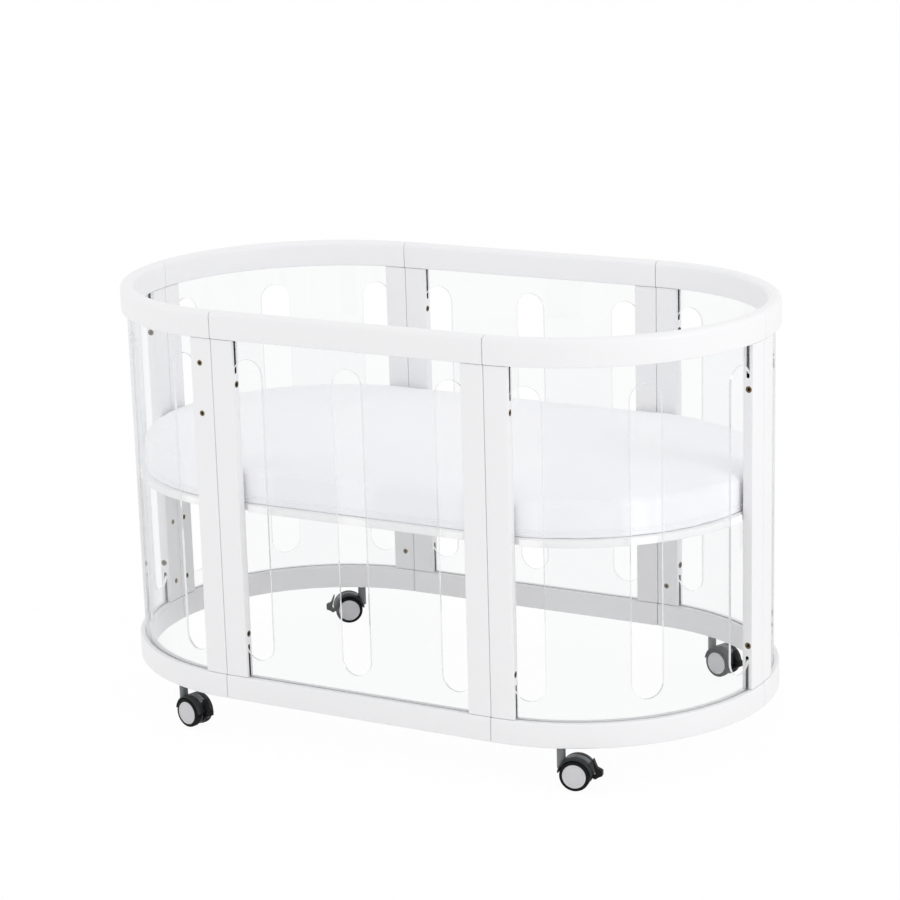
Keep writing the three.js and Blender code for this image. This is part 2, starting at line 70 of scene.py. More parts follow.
SHEET = 5 * MM
SHEET_EDGE_IN_GROOVE = 7.5 * MM
SHEET_EDGE_IN_POST = 8 * MM
SHEET_EASE = 1.0 * MM
SLOT_WIDTH = 59 * MM
SLOT_MARGIN = 35 * MM
FIRST_SLOT_EDGE = 100 * MM
TAB_TRIM = 20 * MM

CONNECTOR_INSET = 1.4 * MM
CONNECTOR_FROM_RAIL = 83 * MM
CONNECTOR_HEAD = 11.2 * MM
CONNECTOR_RECESS = 12 * MM
CONNECTOR_RECESS_DEPTH = 2 * MM
CONNECTOR_BORE = 6.6 * MM
INSERT_BORE = 8 * MM
INSERT_COLLAR = 10.4 * MM
INSERT_DEPTH = 10 * MM
INSERT_FROM_SEAM = 20 * MM
INSERT_ROWS = (39 * MM, 163 * MM, 287 * MM)      # above the bottom rail
OUTER_INSERT_FROM_SEAM = 25 * MM
OUTER_INSERT_ROWS = (141 * MM, 47 * MM)          # below the top rail
OUTER_INSERTS_ON = "front_left"                  # the quarter whose side post has these too

BASE_RIM_GAP = 2.5 * MM
BASE_NOTCH_GAP = 8 * MM
BASE_NOTCH_DEPTH_GAP = 4 * MM
BASE_EASE = 1.2 * MM
BRACKET_WIDTH = 30 * MM
BRACKET_REACH = 30 * MM
BRACKET_DROP = 45 * MM
BRACKET_PLATE = 3 * MM
BRACKET_POST_GAP = 0.7 * MM
BRACKET_BORE = 6.5 * MM
BRACKET_EDGE = 0.8 * MM

MATTRESS_INSET = 1 * MM         # the form that the cover starts from is this much narrower
MATTRESS_RISE = 1.5 * MM        # and this much higher
MATTRESS_SWELL = 7.5 * MM       # how far the cover's top may swell past that form
MATTRESS_SIDE_SWELL = 1.6 * MM  # how far its side may, so that it still lifts out past the rail
MATTRESS_TOP_ROUND = 13 * MM
MATTRESS_LOWER_ROUND = 1.5 * MM
MATTRESS_SEAM_HEIGHT = 11 * MM  # of the piping above the underside
MATTRESS_SEAM_DEPTH = 1.2 * MM
PIPING = 2.4 * MM
STITCH_PITCH = 4.4 * MM
THREAD_PITCH = 1.1 * MM

# ---- sizes from the frame -------------------------------------------------------------------
low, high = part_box("front_top_rail")
HALF = high.x + GAP / 2                 # the seams of the straight panels are at +-HALF
RAIL = high.y - low.y
WALL = -(low.y + high.y) / 2            # radius of the walls' centre line round the ends
WINDOW_TOP = low.z
FRAME_TOP = high.z
low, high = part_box("front_bottom_rail")
FRAME_BOTTOM = low.z
WINDOW_BOTTOM = high.z
CONNECTOR_HEIGHTS = (WINDOW_TOP - CONNECTOR_FROM_RAIL, WINDOW_BOTTOM + CONNECTOR_FROM_RAIL)
INSERT_HEIGHTS = [WINDOW_BOTTOM + row for row in INSERT_ROWS]
OUTER_INSERT_HEIGHTS = [WINDOW_TOP - row for row in OUTER_INSERT_ROWS]
low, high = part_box("front_post_a")
POST_WIDTH = high.x - low.x + GAP / 2
POST_DEPTH = high.y - low.y
low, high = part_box("mattress_base")
BASE_BOTTOM = low.z
BASE_TOP = high.z
low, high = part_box("mattress")
MATTRESS_BOTTOM = low.z
MATTRESS_TOP = high.z
MATTRESS_RADIUS = high.y

JOINTS = {joint["name"]: joint for joint in frame["joints"]}
low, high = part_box("front_left_caster_wheel_a")
WHEEL_RADIUS = (high.z - low.z) / 2
swivel_at = JOINTS["front_left_caster_swivel"]["pos_m"]
axle_at = JOINTS["front_left_wheel_a_roll"]["pos_m"]
TRAIL = math.hypot(axle_at[0] - swivel_at[0], axle_at[1] - swivel_at[1])


# ---- panels ---------------------------------------------------------------------------------
class Panel:
    """One of the six walls. Its own coordinates are u, outwards from the centre line, v, up,
    and w, along the wall from its first seam."""

    def __init__(self, name, curved, turn, centre_x, straight_seam_at_start=False):
        self.name = name
        self.curved = curved
        self.turn = math.radians(turn)
        self.centre_x = centre_x
        self.straight_seam_at_start = straight_seam_at_start
        self.length = WALL * math.pi / 2 if curved else 2 * HALF

    def at(self, u, v, w):
        """Points in the crib's frame."""
        u, v, w = np.broadcast_arrays(u, v, w)
        if self.curved:
            angle = math.pi / 2 - w / WALL
            x = (WALL + u) * np.cos(angle)
            y = (WALL + u) * np.sin(angle)
        else:
            x = HALF - w
            y = -(WALL + u)
        cos, sin = math.cos(self.turn), math.sin(self.turn)
        return np.stack([cos * x - sin * y + self.centre_x, sin * x + cos * y, v + 0 * x], -1)

    def place(self, w):
        """The rigid move from u, v and w to the crib's frame, at one distance along the wall."""
        origin = Vector(self.at(0, 0, w))
        out = Vector(self.at(1, 0, w)) - origin
        columns = Matrix((out, UP, out.cross(UP))).transposed().to_4x4()
        return Matrix.Translation(origin) @ columns

    def direction(self, w, axis):
        """A direction in u, v and w at one distance along the wall, in the crib's frame."""
        return self.place(w).to_3x3() @ Vector(axis)

    def ends(self):
        """For each end: the w of its seam, the way inwards from it, and whether it is a
        quarter's end beside a straight panel."""
        for at_start, seam, side in ((True, 0, 1), (False, self.length, -1)):
            yield seam, side, self.curved and at_start == self.straight_seam_at_start


PANELS = (
    Panel("front", False, 0, 0),
    Panel("front_left", True, 180, -HALF, True),
    Panel("back_left", True, 90, -HALF),
    Panel("back", False, 180, 0),
    Panel("back_right", True, 0, HALF, True),
    Panel("front_right", True, -90, HALF),
)
QUARTERS = [panel for panel in PANELS if panel.curved]


# ---- materials ------------------------------------------------------------------------------
class Value:
    """The output of a node. Sums on it add Math nodes."""

    def __init__(self, finish, output):
        self.finish = finish
        self.output = output

    def math(self, operation, first, second=0.0):
        return self.finish.node("ShaderNodeMath", {"operation": operation}, {0: first, 1: second})

    def sine(self):
        return self.math("SINE", self)

    def beside(self, output):
        """Another output of the same node."""
        return Value(self.finish, self.output.node.outputs[output])

    def __add__(self, other):
        return self.math("ADD", self, other)

    def __sub__(self, other):
        return self.math("SUBTRACT", self, other)

    def __rsub__(self, other):
        return self.math("SUBTRACT", other, self)

    def __mul__(self, other):
        return self.math("MULTIPLY", self, other)

    def __pow__(self, other):
        return self.math("POWER", self, other)

    __radd__ = __add__
    __rmul__ = __mul__


class Finish:
    """A material, or the world, and the nodes in it. Keywords are for its one shader's sockets."""

    def __init__(self, name, world=None, **surface):
        self.material = world or bpy.data.materials.new(name)
        self.material.use_nodes = True
        self.tree = self.material.node_tree
        self.tree.nodes.clear()
        kind = "ShaderNodeOutputWorld" if world else "ShaderNodeOutputMaterial"
        self.output = self.tree.nodes.new(kind)
        self.shader = None
        if surface:
            values = {key.replace("_", " "): value for key, value in surface.items()}
            shader = self.node("ShaderNodeBsdfPrincipled", None, values)
            self.shader = shader.output.node
            self.show(shader)

    def node(self, kind, settings=None, values=None, output=0):
        made = self.tree.nodes.new(kind)
        for key, value in (settings or {}).items():
            setattr(made, key, value)
        for key, value in (values or {}).items():
            self.feed(made.inputs[key], value)
        return Value(self, made.outputs[output])

    def show(self, shader):
        self.tree.links.new(shader.output, self.output.inputs[0])

    def mixed(self, share, first, second):
        return self.node("ShaderNodeMixShader", None, {0: share, 1: first, 2: second})

    def feed(self, socket, value):
        if isinstance(value, Value):
            self.tree.links.new(value.output, socket)
        else:
            socket.default_value = value

    def set(self, name, value):
        self.feed(self.shader.inputs[name], value)

    def object_coordinates(self):
        return self.node("ShaderNodeTexCoord", output="Object")

    def noise(self, scale, detail=2.0, roughness=0.5, vector=None):
        values = {"Scale": scale, "Detail": detail, "Roughness": roughness}
        values["Vector"] = vector or self.object_coordinates()
        return self.node("ShaderNodeTexNoise", None, values)

    def stretched(self, x, y, z):
        vector = self.object_coordinates()
        return self.node("ShaderNodeMapping", None, {"Vector": vector, "Scale": (x, y, z)})

    def blended(self, factor, first, second):
        """A colour between two. The node's colour sockets share their names with its others."""
        values = {0: factor, 6: first, 7: second}
        return self.node("ShaderNodeMix", {"data_type": "RGBA"}, values, output=2)

    def bump(self, height, distance, strength=1.0, under=None):
        values = {"Height": height, "Distance": distance, "Strength": strength}
        if under is not None:
            values["Normal"] = under
        return self.node("ShaderNodeBump", None, values)


def grey(level):
    return (level, level, level, 1.0)


def painted_wood():
    """Satin paint: the wood's grain shows faintly under the sprayed surface."""
    finish = Finish("painted_wood", Specular_IOR_Level=0.42, Coat_Roughness=0.3)
    patches = finish.noise(3.5, 3)
    grain = finish.noise(1.0, 4, 0.6, finish.stretched(60, 60, 9))
    shades = (0.815, 0.815, 0.828, 1), (0.84, 0.838, 0.848, 1)
    finish.set("Base Color", finish.blended(patches, *shades))
    finish.set("Roughness", 0.34 + 0.1 * finish.noise(28, 4))
    orange_peel = finish.bump(finish.noise(420, 2), 0.00025, 0.25)
    finish.set("Normal", finish.bump(grain, 0.0004, 0.12, orange_peel))
    return finish.material


def board_lacquer():
    finish = Finish("board_lacquer", Specular_IOR_Level=0.35)
    speckle = finish.noise(900, 2)
    finish.set("Base Color", finish.blended(speckle, grey(0.9), grey(0.94)))
    finish.set("Roughness", 0.5 + 0.12 * finish.noise(60, 3))
    finish.set("Normal", finish.bump(speckle, 0.00015, 0.3))
    return finish.material


def clear_sheet(name, clearness, tint, floor_share):
    """Clear acrylic: what is behind shows through it, less what its faces mirror. Both the
    mirrored share and the milkiness grow where it is seen edge on."""
    finish = Finish(name)
    facing = finish.node("ShaderNodeLayerWeight", None, {"Blend": 0.5}, output="Facing")
    mirrored_share = floor_share + (1 - floor_share) * facing ** 5
    clear_share = clearness * (1 - 0.3 * facing ** 4)
    roughness = 0.008 + 0.012 * finish.noise(22, 3)
    through = finish.node("ShaderNodeBsdfTransparent", None, {"Color": tint})
    milk = finish.node("ShaderNodeBsdfDiffuse", None, {"Color": (0.95, 0.96, 0.97, 1)})
    gloss = {"Color": (0.85, 0.855, 0.86, 1), "Roughness": roughness}
    mirror = finish.node("ShaderNodeBsdfGlossy", None, gloss)
    body = finish.mixed(clear_share, milk, through)
    finish.show(finish.mixed(mirrored_share, body, mirror))
    return finish.material


def mattress_cloth():
    """Plain weave, with threads of one width both ways, and soft creases."""
    finish = Finish("mattress_cloth", Sheen_Weight=0.25, Sheen_Roughness=0.5, Roughness=0.85,
                    Specular_IOR_Level=0.2)
    weave_uv = finish.node("ShaderNodeUVMap", {"uv_map": "cloth"})
    along = finish.node("ShaderNodeSeparateXYZ", None, {0: weave_uv})
    across = along.beside(1)
    threads = 2 * math.pi / THREAD_PITCH
    weave = (along * threads).sine() * (across * threads).sine()
    shades = (0.915, 0.92, 0.945, 1), (0.94, 0.942, 0.96, 1)
    finish.set("Base Color", finish.blended(finish.noise(9, 3), *shades))
    slub = finish.bump(finish.noise(1.0, 3, 0.6, finish.stretched(500, 60, 60)), 0.0004, 0.25)
    crease = finish.bump(finish.noise(14, 3), 0.002, 0.15, slub)
    finish.set("Normal", finish.bump(weave, 0.00018, 0.35, crease))
    return finish.material


def metal(name, light, dark, roughness, wear_scale):
    finish = Finish(name, Metallic=1.0)
    wear = finish.noise(wear_scale, 4, 0.65)
    finish.set("Base Color", finish.blended(wear, dark, light))
    finish.set("Roughness", roughness + 0.16 * wear)
    finish.set("Normal", finish.bump(wear, 0.0001, 0.25))
    return finish.material


def moulded(name, dark, light, roughness, grain_size, grain_depth=0.00012, specular=0.5):
    finish = Finish(name, Specular_IOR_Level=specular)
    grain = finish.noise(1 / grain_size, 3, 0.6)
    finish.set("Base Color", finish.blended(finish.noise(40, 3), dark, light))
    finish.set("Roughness", roughness + 0.12 * grain)
    finish.set("Normal", finish.bump(grain, grain_depth, 0.5))
    return finish.material


PAINT = painted_wood()
LACQUER = board_lacquer()
ACRYLIC = clear_sheet("clear_acrylic", 0.99, (0.988, 0.99, 0.991, 1), 0.036)
ACRYLIC_EDGE = clear_sheet("acrylic_edge", 0.04, (0.97, 0.98, 0.985, 1), 0.5)
CLOTH = mattress_cloth()
THREAD = moulded("seam_thread", grey(0.8), grey(0.86), 0.7, 0.0004)
BRONZE = metal("aged_bronze", (0.3, 0.2, 0.1, 1), (0.07, 0.05, 0.028, 1), 0.34, 300)
BRASS = metal("aged_brass", (0.33, 0.26, 0.13, 1), (0.12, 0.09, 0.045, 1), 0.36, 260)
# Near-black: painted shade on the walls and floors of bores, recesses, sockets and holes, where shade
# falls.
BORE_SHADE = moulded("dark_bore", grey(0.003), grey(0.007), 0.7, 0.0005, specular=0.1)
# Near-black: painted shade on the walls of the posts' grooves, for the shadow deep inside them.
GROOVE_SHADE = moulded("groove_gasket", grey(0.02), grey(0.035), 0.6, 0.0005, specular=0.15)
STEEL = metal("zinc_plated_steel", grey(0.62), grey(0.45), 0.24, 180)
HOOD_PLASTIC = moulded("hood_plastic", (0.012, 0.015, 0.016, 1), (0.02, 0.024, 0.026, 1),
                       0.4, 0.0006, specular=0.3)
CREST_PLASTIC = moulded("crest_plastic", (0.14, 0.152, 0.155, 1), (0.175, 0.188, 0.192, 1),
                        0.38, 0.0006)
TREAD = moulded("tyre_rubber", grey(0.004), grey(0.008), 0.5, 0.0005, specular=0.12)
HUB_PLASTIC = moulded("hub_plastic", (0.55, 0.55, 0.57, 1), (0.6, 0.6, 0.62, 1), 0.3, 0.0009)
LEVER_PLASTIC = moulded("lever_plastic", grey(0.004), grey(0.008), 0.34, 0.0008, 0.00006, 0.15)


# ---- meshes ---------------------------------------------------------------------------------
def finished(obj, body, replaced=()):
    """Hands a finished piece over to the frame."""
    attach(obj, body)
    if replaced:
        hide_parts(*replaced)


def linked(name, data):
    """A new object in the scene."""
    obj = bpy.data.objects.new(name, data)
    bpy.context.scene.collection.objects.link(obj)
    return obj


def smooth(mesh, degrees=35):
    mesh.polygons.foreach_set("use_smooth", [True] * len(mesh.polygons))
    mesh.set_sharp_from_angle(angle=math.radians(degrees))


def outward(mesh, merged_below=1e-7):
    """Merges doubles and turns every face outwards."""
    bm = bmesh.new()
    bm.from_mesh(mesh)
    bmesh.ops.remove_doubles(bm, verts=bm.verts, dist=merged_below)
    bmesh.ops.recalc_face_normals(bm, faces=bm.faces)
    bm.to_mesh(mesh)
    bm.free()


def make_object(name, vertices, faces, material, degrees=35):
    mesh = bpy.data.meshes.new(name)
    mesh.from_pydata([tuple(v) for v in vertices], [], faces)
    outward(mesh)
    mesh.materials.append(material)
    smooth(mesh, degrees)
    return linked(name, mesh)


def ring_faces(rings, count, ends="closed"):
    """Faces between rings of count points each. The ends are closed with a face each, left
    open, or joined, the last ring to the first."""
    faces = []
    for i in range(rings if ends == "joined" else rings - 1):
        this, following = i * count, (i + 1) % rings * count
        for j in range(count):
            k = (j + 1) % count
            faces.append((this + j, this + k, following + k, following + j))
    if ends == "closed":
        faces.append(tuple(reversed(range(count))))
        faces.append(tuple((rings - 1) * count + j for j in range(count)))
    return faces


def settled(obj):
    """Works the object's modifiers into its mesh."""
    graph = bpy.context.evaluated_depsgraph_get()
    mesh = bpy.data.meshes.new_from_object(obj.evaluated_get(graph), depsgraph=graph)
    obj.modifiers.clear()
    obj.data = mesh


def cut(obj, cutters, operation="DIFFERENCE"):
    """Takes the cutters out of the object, or joins them to it. A cut face takes the cutter's
    material where it has one."""
    for cutter in cutters:
        modifier = obj.modifiers.new("cut", "BOOLEAN")
        modifier.operation = operation
        modifier.solver = "EXACT"
        modifier.object = cutter
        if cutter.data.materials[0] is not None:
            modifier.material_mode = "TRANSFER"
    settled(obj)
    for cutter in cutters:
        bpy.data.objects.remove(cutter)
    smooth(obj.data)


def softened(obj, width, segments, degrees):
    """Rounds the edges that are sharper than an angle."""
    modifier = obj.modifiers.new("edges", "BEVEL")
    modifier.width = width
    modifier.segments = segments
    modifier.limit_method = "ANGLE"
    modifier.angle_limit = math.radians(degrees)
    settled(obj)
    smooth(obj.data)


def filleted(corners, steps=6):
    """A closed outline from corners (a, b, radius), each with its round."""
    points = []
    count = len(corners)
    for i, (a, b, radius) in enumerate(corners):
        here = np.array([a, b])
        before = np.array(corners[i - 1][:2]) - here
        after = np.array(corners[(i + 1) % count][:2]) - here
        before = before / np.linalg.norm(before)
        after = after / np.linalg.norm(after)
        half = math.acos(np.clip(before @ after, -1, 1)) / 2
        if radius <= 0 or half > math.pi / 2 - 1e-3:
            points.append(here)
            continue
        middle = (before + after) / np.linalg.norm(before + after)
        centre = here + middle * radius / math.sin(half)
        start = here + before * radius / math.tan(half) - centre
        end = here + after * radius / math.tan(half) - centre
        sweep = math.pi - 2 * half
        for step in range(steps + 1):
            share = step / steps
            mixed = start * math.sin((1 - share) * sweep) + end * math.sin(share * sweep)
            points.append(centre + mixed / math.sin(sweep))
    return np.array(points)


def inset(outline, distance):
    """The closed outline moved inwards, along the mean of its sides' normals."""
    ahead = np.roll(outline, -1, 0) - outline
    ahead /= np.linalg.norm(ahead, axis=1)[:, None]
    behind = np.roll(ahead, 1, 0)
    normal = np.stack([-(ahead + behind)[:, 1], (ahead + behind)[:, 0]], 1)
    normal /= np.maximum(np.linalg.norm(normal, axis=1), 1e-9)[:, None]
    stretch = np.clip((normal * np.stack([-ahead[:, 1], ahead[:, 0]], 1)).sum(1), 0.5, 1)
    x, y = outline[:, 0], outline[:, 1]
    area = (x * np.roll(y, -1) - np.roll(x, -1) * y).sum()
    return outline + math.copysign(distance, area) * normal / stretch[:, None]


def eased_stations(start, end, ease, steps, ease_steps=4):
    """Pairs (place, inset) along a bar whose two ends are rounded over."""
    near = []
    for i in range(ease_steps):
        angle = i / ease_steps * math.pi / 2
        near.append((ease * (1 - math.cos(angle)), ease * (1 - math.sin(angle))))
    stations = [(start + along, depth) for along, depth in near]
    for i in range(steps + 1):
        stations.append((start + ease + (end - start - 2 * ease) * i / steps, 0.0))
    return stations + [(end - along, depth) for along, depth in reversed(near)]


def swept(name, outline, place, start, end, ease, steps, material):
    """An outline carried from start to end, and rounded over at both. place(a, b, along) gives
    the points of the outline (a, b) at one place along the way."""
    vertices = []
    stations = eased_stations(start, end, ease, steps)
    for along, depth in stations:
        ring = inset(outline, depth) if depth else outline
        vertices.extend(place(ring[:, 0], ring[:, 1], along))
    return make_object(name, vertices, ring_faces(len(stations), len(outline)), material)


def prism(name, outline, depth, matrix, material=None):
    """An outline in a matrix's X and Y, extruded both ways along its Z."""
    vertices = []
    for side in (-depth / 2, depth / 2):
        vertices.extend(matrix @ Vector((a, b, side)) for a, b in outline)
    return make_object(name, vertices, ring_faces(2, len(outline)), material)


def rectangle(left, right, bottom, top):
    return [(left, bottom), (right, bottom), (right, top), (left, top)]


def around(a, b, points):
    """Points given in mm from (a, b). A third number, the round of a corner, is in mm too."""
    return [(a + x * MM, b + y * MM, *(value * MM for value in rest)) for x, y, *rest in points]


def circle(radius, sides=32):
    angles = np.arange(sides) * 2 * math.pi / sides
    return np.stack([radius * np.cos(angles), radius * np.sin(angles)], 1)


def capsule(width, bottom, top, steps=16):
    """An upright outline with half a circle at each end."""
    half = width / 2
    points = []
    for centre, first in ((top - half, 0), (bottom + half, math.pi)):
        for i in range(steps + 1):
            angle = first + math.pi * i / steps
            points.append((half * math.cos(angle), centre + half * math.sin(angle)))
    return np.array(points)


# ---- rails ----------------------------------------------------------------------------------
def rail_outline(bottom, top, upper_round, groove_at_top):
    """A rail's outline in u and v, with the groove that the clear sheet stands in."""
    half = RAIL / 2
    groove = GROOVE_WIDTH / 2
    edge = 0.5 * MM
    lower = [(half, bottom, RAIL_LOWER_ROUND)]
    upper = [(half, top, upper_round)]
    left = [(-half, top, upper_round), (-half, bottom, RAIL_LOWER_ROUND)]
    if groove_at_top:
        sunk = top - GROOVE_DEPTH
        cut_out = [(groove, top, edge), (groove, sunk, 0), (-groove, sunk, 0), (-groove, top, edge)]
        return filleted(lower + upper + cut_out + left)
    sunk = bottom + GROOVE_DEPTH
    cut_out = [(-groove, bottom, edge), (-groove, sunk, 0), (groove, sunk, 0), (groove, bottom, edge)]
    return filleted(lower + upper + left + cut_out)


def rails():
    shapes = {
        "top_rail": rail_outline(WINDOW_TOP, FRAME_TOP, TOP_RAIL_ROUND, False),
        "bottom_rail": rail_outline(FRAME_BOTTOM, WINDOW_BOTTOM, BOTTOM_RAIL_ROUND, True),
    }
    for panel in PANELS:
        for part, outline in shapes.items():
            node = f"{panel.name}_{part}"
            steps = 56 if panel.curved else 8
            ends = (SEAM_GAP / 2, panel.length - SEAM_GAP / 2)
            rail = swept(f"finished_{node}", outline, panel.at, *ends, SEAM_EASE, steps, PAINT)
            finished(rail, "crib_frame", [node])


# ---- posts ----------------------------------------------------------------------------------
def rod_along(panel, seam, side, v, diameter, near, far, material=None):
    """A cylinder along the wall on a connecting bolt's line, from near to far of the seam."""
    middle = Matrix.Translation((-CONNECTOR_INSET, v, side * (near + far) / 2))
    return prism("tool", circle(diameter / 2), far - near, panel.place(seam) @ middle, material)


def rod_out(panel, w, v, diameter, near, far, material=None):
    """A cylinder square to the wall, from u near to far."""
    across = Matrix.Rotation(math.pi / 2, 4, "Y")
    turned = panel.place(w) @ Matrix.Translation(((near + far) / 2, v, 0)) @ across
    return prism("tool", circle(diameter / 2), far - near, turned, material)


def insert_places(panel, seam, side, beside_straight):
    """The inserts at one end of a panel: w, the height, and 1 for outwards or -1 for inwards."""
    places = []
    if panel.curved:
        places += [(seam + side * INSERT_FROM_SEAM, v, -1) for v in INSERT_HEIGHTS]
    if beside_straight and panel.name == OUTER_INSERTS_ON:
        places += [(seam + side * OUTER_INSERT_FROM_SEAM, v, 1) for v in OUTER_INSERT_HEIGHTS]
    return places


def post(panel, seam, side, beside_straight, node):
    """A post of the panel. It is cut by one tool after another, as some of them overlap."""
    half = POST_DEPTH / 2
    outline = upright_outline(seam + side * SEAM_GAP / 2, seam + side * POST_WIDTH, half)
    vertices = []
    for v in (WINDOW_BOTTOM + SEAM_GAP, WINDOW_TOP - SEAM_GAP):
        vertices.extend(panel.at(outline[:, 0], v, outline[:, 1]))
    piece = make_object(f"finished_{node}", vertices, ring_faces(2, len(outline)), PAINT)
    tools = []
    past = 5 * MM
    face = panel.place(seam + side * (POST_WIDTH - POST_GROOVE_DEPTH / 2 + past))
    # The grooves' walls take the near-black groove colour, as painted shade.
    for rail, way in ((WINDOW_TOP, -1), (WINDOW_BOTTOM, 1)):
        ends = sorted((rail - way * 2 * past, rail + way * POST_GROOVE_HEIGHT))
        groove = capsule(GROOVE_WIDTH, *ends)
        tools.append(prism("tool", groove, POST_GROOVE_DEPTH + 2 * past, face, GROOVE_SHADE))
    # The walls of the bolts' recesses and bores and of the inserts' holes take the near-black bore
    # colour, as painted shade.
    for v in CONNECTOR_HEIGHTS:
        recess = (POST_WIDTH - CONNECTOR_RECESS_DEPTH, POST_WIDTH + past)
        whole = (-past, POST_WIDTH + past - 1 * MM)
        tools.append(rod_along(panel, seam, side, v, CONNECTOR_RECESS, *recess, BORE_SHADE))
        tools.append(rod_along(panel, seam, side, v, CONNECTOR_BORE, *whole, BORE_SHADE))
    for w, v, way in insert_places(panel, seam, side, beside_straight):
        hole = sorted((way * (half - INSERT_DEPTH), way * (half + past)))
        tools.append(rod_out(panel, w, v, INSERT_BORE, *hole, BORE_SHADE))
    for tool in tools:
        cut(piece, [tool])
    finished(piece, "crib_frame", [node])


def upright_outline(near, far, half):
    """A post's outline in u and w, rounded at its four long edges."""
    steps = [near + (far - near) * share for share in (0.25, 0.5, 0.75)]
    outer = [(half, near, POST_SEAM_EASE)] + [(half, w, 0) for w in steps]
    inner = [(-half, far, POST_EASE)] + [(-half, w, 0) for w in reversed(steps)]
    return filleted(outer + [(half, far, POST_EASE)] + inner + [(-half, near, POST_SEAM_EASE)], 4)


def posts():
    for panel in PANELS:
        for seam, side, beside_straight in panel.ends():
            if panel.curved:
                part = "side_post" if beside_straight else "end_post"
            else:
                part = "post_a" if side > 0 else "post_b"
            post(panel, seam, side, beside_straight, f"{panel.name}_{part}")


# ---- clear sheets ---------------------------------------------------------------------------
def clear_walls():
    """Each sheet is cut flat, with w along X, u along Y and v up, and then bent to its wall. Its
    slots go right through, and so does the strip between the outer slots and the posts."""
    for panel in PANELS:
        node = f"{panel.name}_clear_sheet"
        reach = POST_WIDTH - SHEET_EDGE_IN_POST
        start, end = reach, panel.length - reach
        bottom = WINDOW_BOTTOM - SHEET_EDGE_IN_GROOVE
        top = WINDOW_TOP + SHEET_EDGE_IN_GROOVE
        steps = 44 if panel.curved else 4
        vertices = []
        for i in range(steps + 1):
            w = start + (end - start) * i / steps
            for u, v in ((1, bottom), (1, top), (-1, top), (-1, bottom)):
                vertices.append((w, u * SHEET / 2, v))
        sheet = make_object(f"finished_{node}", vertices, ring_faces(steps + 1, 4), ACRYLIC)
        slot_bottom, slot_top = WINDOW_BOTTOM + SLOT_MARGIN, WINDOW_TOP - SLOT_MARGIN
        slot = capsule(SLOT_WIDTH, slot_bottom, slot_top)
        first = FIRST_SLOT_EDGE - SLOT_WIDTH / 2
        trim = first - reach + 2 * MM
        strip = rectangle(-trim / 2, trim / 2, slot_bottom + TAB_TRIM, slot_top - TAB_TRIM)
        last = panel.length - first
        cuts = [(first, slot), (panel.length / 2, slot), (last, slot)]
        cuts += [(first - trim / 2, strip), (last + trim / 2, strip)]
        cut(sheet, [
            prism("tool", outline, 4 * SHEET, Matrix.Translation((w, 0, 0)) @ ACROSS)
            for w, outline in cuts
        ])
        softened(sheet, SHEET_EASE, 2, 60)
        mesh = sheet.data
        mesh.materials.append(ACRYLIC_EDGE)
        for polygon in mesh.polygons:
            polygon.material_index = 0 if abs(polygon.normal.y) > 0.9 else 1
        bend(mesh, panel)
        finished(sheet, "crib_frame", [node])


def bend(mesh, panel):
    """Bends a flat sheet to its wall, with normals that follow the bend exactly."""
    flat = points_of(mesh)
    w, u, v = flat[:, 0], flat[:, 1], flat[:, 2]
    bent = panel.at(u, v, w)
    outwards = panel.at(u + 1, v, w) - bent
    mesh.vertices.foreach_set("co", bent.ravel())
    mesh.update()
    mesh.polygons.foreach_set("use_smooth", [True] * len(mesh.polygons))
    normals = np.zeros((len(mesh.loops), 3))
    for polygon in mesh.polygons:
        for corner in polygon.loop_indices:
            vertex = mesh.loops[corner].vertex_index
            if polygon.material_index == 0:
                normals[corner] = outwards[vertex] * (1 if u[vertex] > 0 else -1)
            else:
                normals[corner] = polygon.normal
    mesh.normals_split_custom_set(normals.tolist())


def points_of(mesh):
    flat = np.zeros(3 * len(mesh.vertices))
    mesh.vertices.foreach_get("co", flat)
    return flat.reshape(-1, 3)


# ---- fixings: copies of one shape at many places ---------------------------------------------
def copies_tree():
    """A tree that sets a copy of a shape at each point, with its Z along the point's `facing`
    and its X along `along`."""
    tree = bpy.data.node_groups.new("copies_at_points", "GeometryNodeTree")
    for name, kind in (("Points", "Geometry"), ("Shape", "Object"), ("Finish", "Material")):
        tree.interface.new_socket(name, in_out="INPUT", socket_type=f"NodeSocket{kind}")
    tree.interface.new_socket("Copies", in_out="OUTPUT", socket_type="NodeSocketGeometry")
    nodes, links = tree.nodes, tree.links
    source = nodes.new("NodeGroupInput")
    shape = nodes.new("GeometryNodeObjectInfo")
    links.new(source.outputs["Shape"], shape.inputs["Object"])
    turn = None
    for name, axis, pivot in (("facing", "Z", "AUTO"), ("along", "X", "Z")):
        stored = nodes.new("GeometryNodeInputNamedAttribute")
        stored.data_type = "FLOAT_VECTOR"
        stored.inputs["Name"].default_value = name
        align = nodes.new("FunctionNodeAlignRotationToVector")
        align.axis = axis
        align.pivot_axis = pivot
        links.new(stored.outputs["Attribute"], align.inputs["Vector"])
        if turn is not None:
            links.new(turn, align.inputs["Rotation"])
        turn = align.outputs["Rotation"]
    copies = nodes.new("GeometryNodeInstanceOnPoints")
    links.new(source.outputs["Points"], copies.inputs["Points"])
    links.new(shape.outputs["Geometry"], copies.inputs["Instance"])
    links.new(turn, copies.inputs["Rotation"])
    real = nodes.new("GeometryNodeRealizeInstances")
    links.new(copies.outputs[0], real.inputs[0])
    painted = nodes.new("GeometryNodeSetMaterial")
    links.new(real.outputs[0], painted.inputs["Geometry"])
    links.new(source.outputs["Finish"], painted.inputs["Material"])
    result = nodes.new("NodeGroupOutput")
    links.new(painted.outputs[0], result.inputs[0])
    return tree


COPIES = copies_tree()


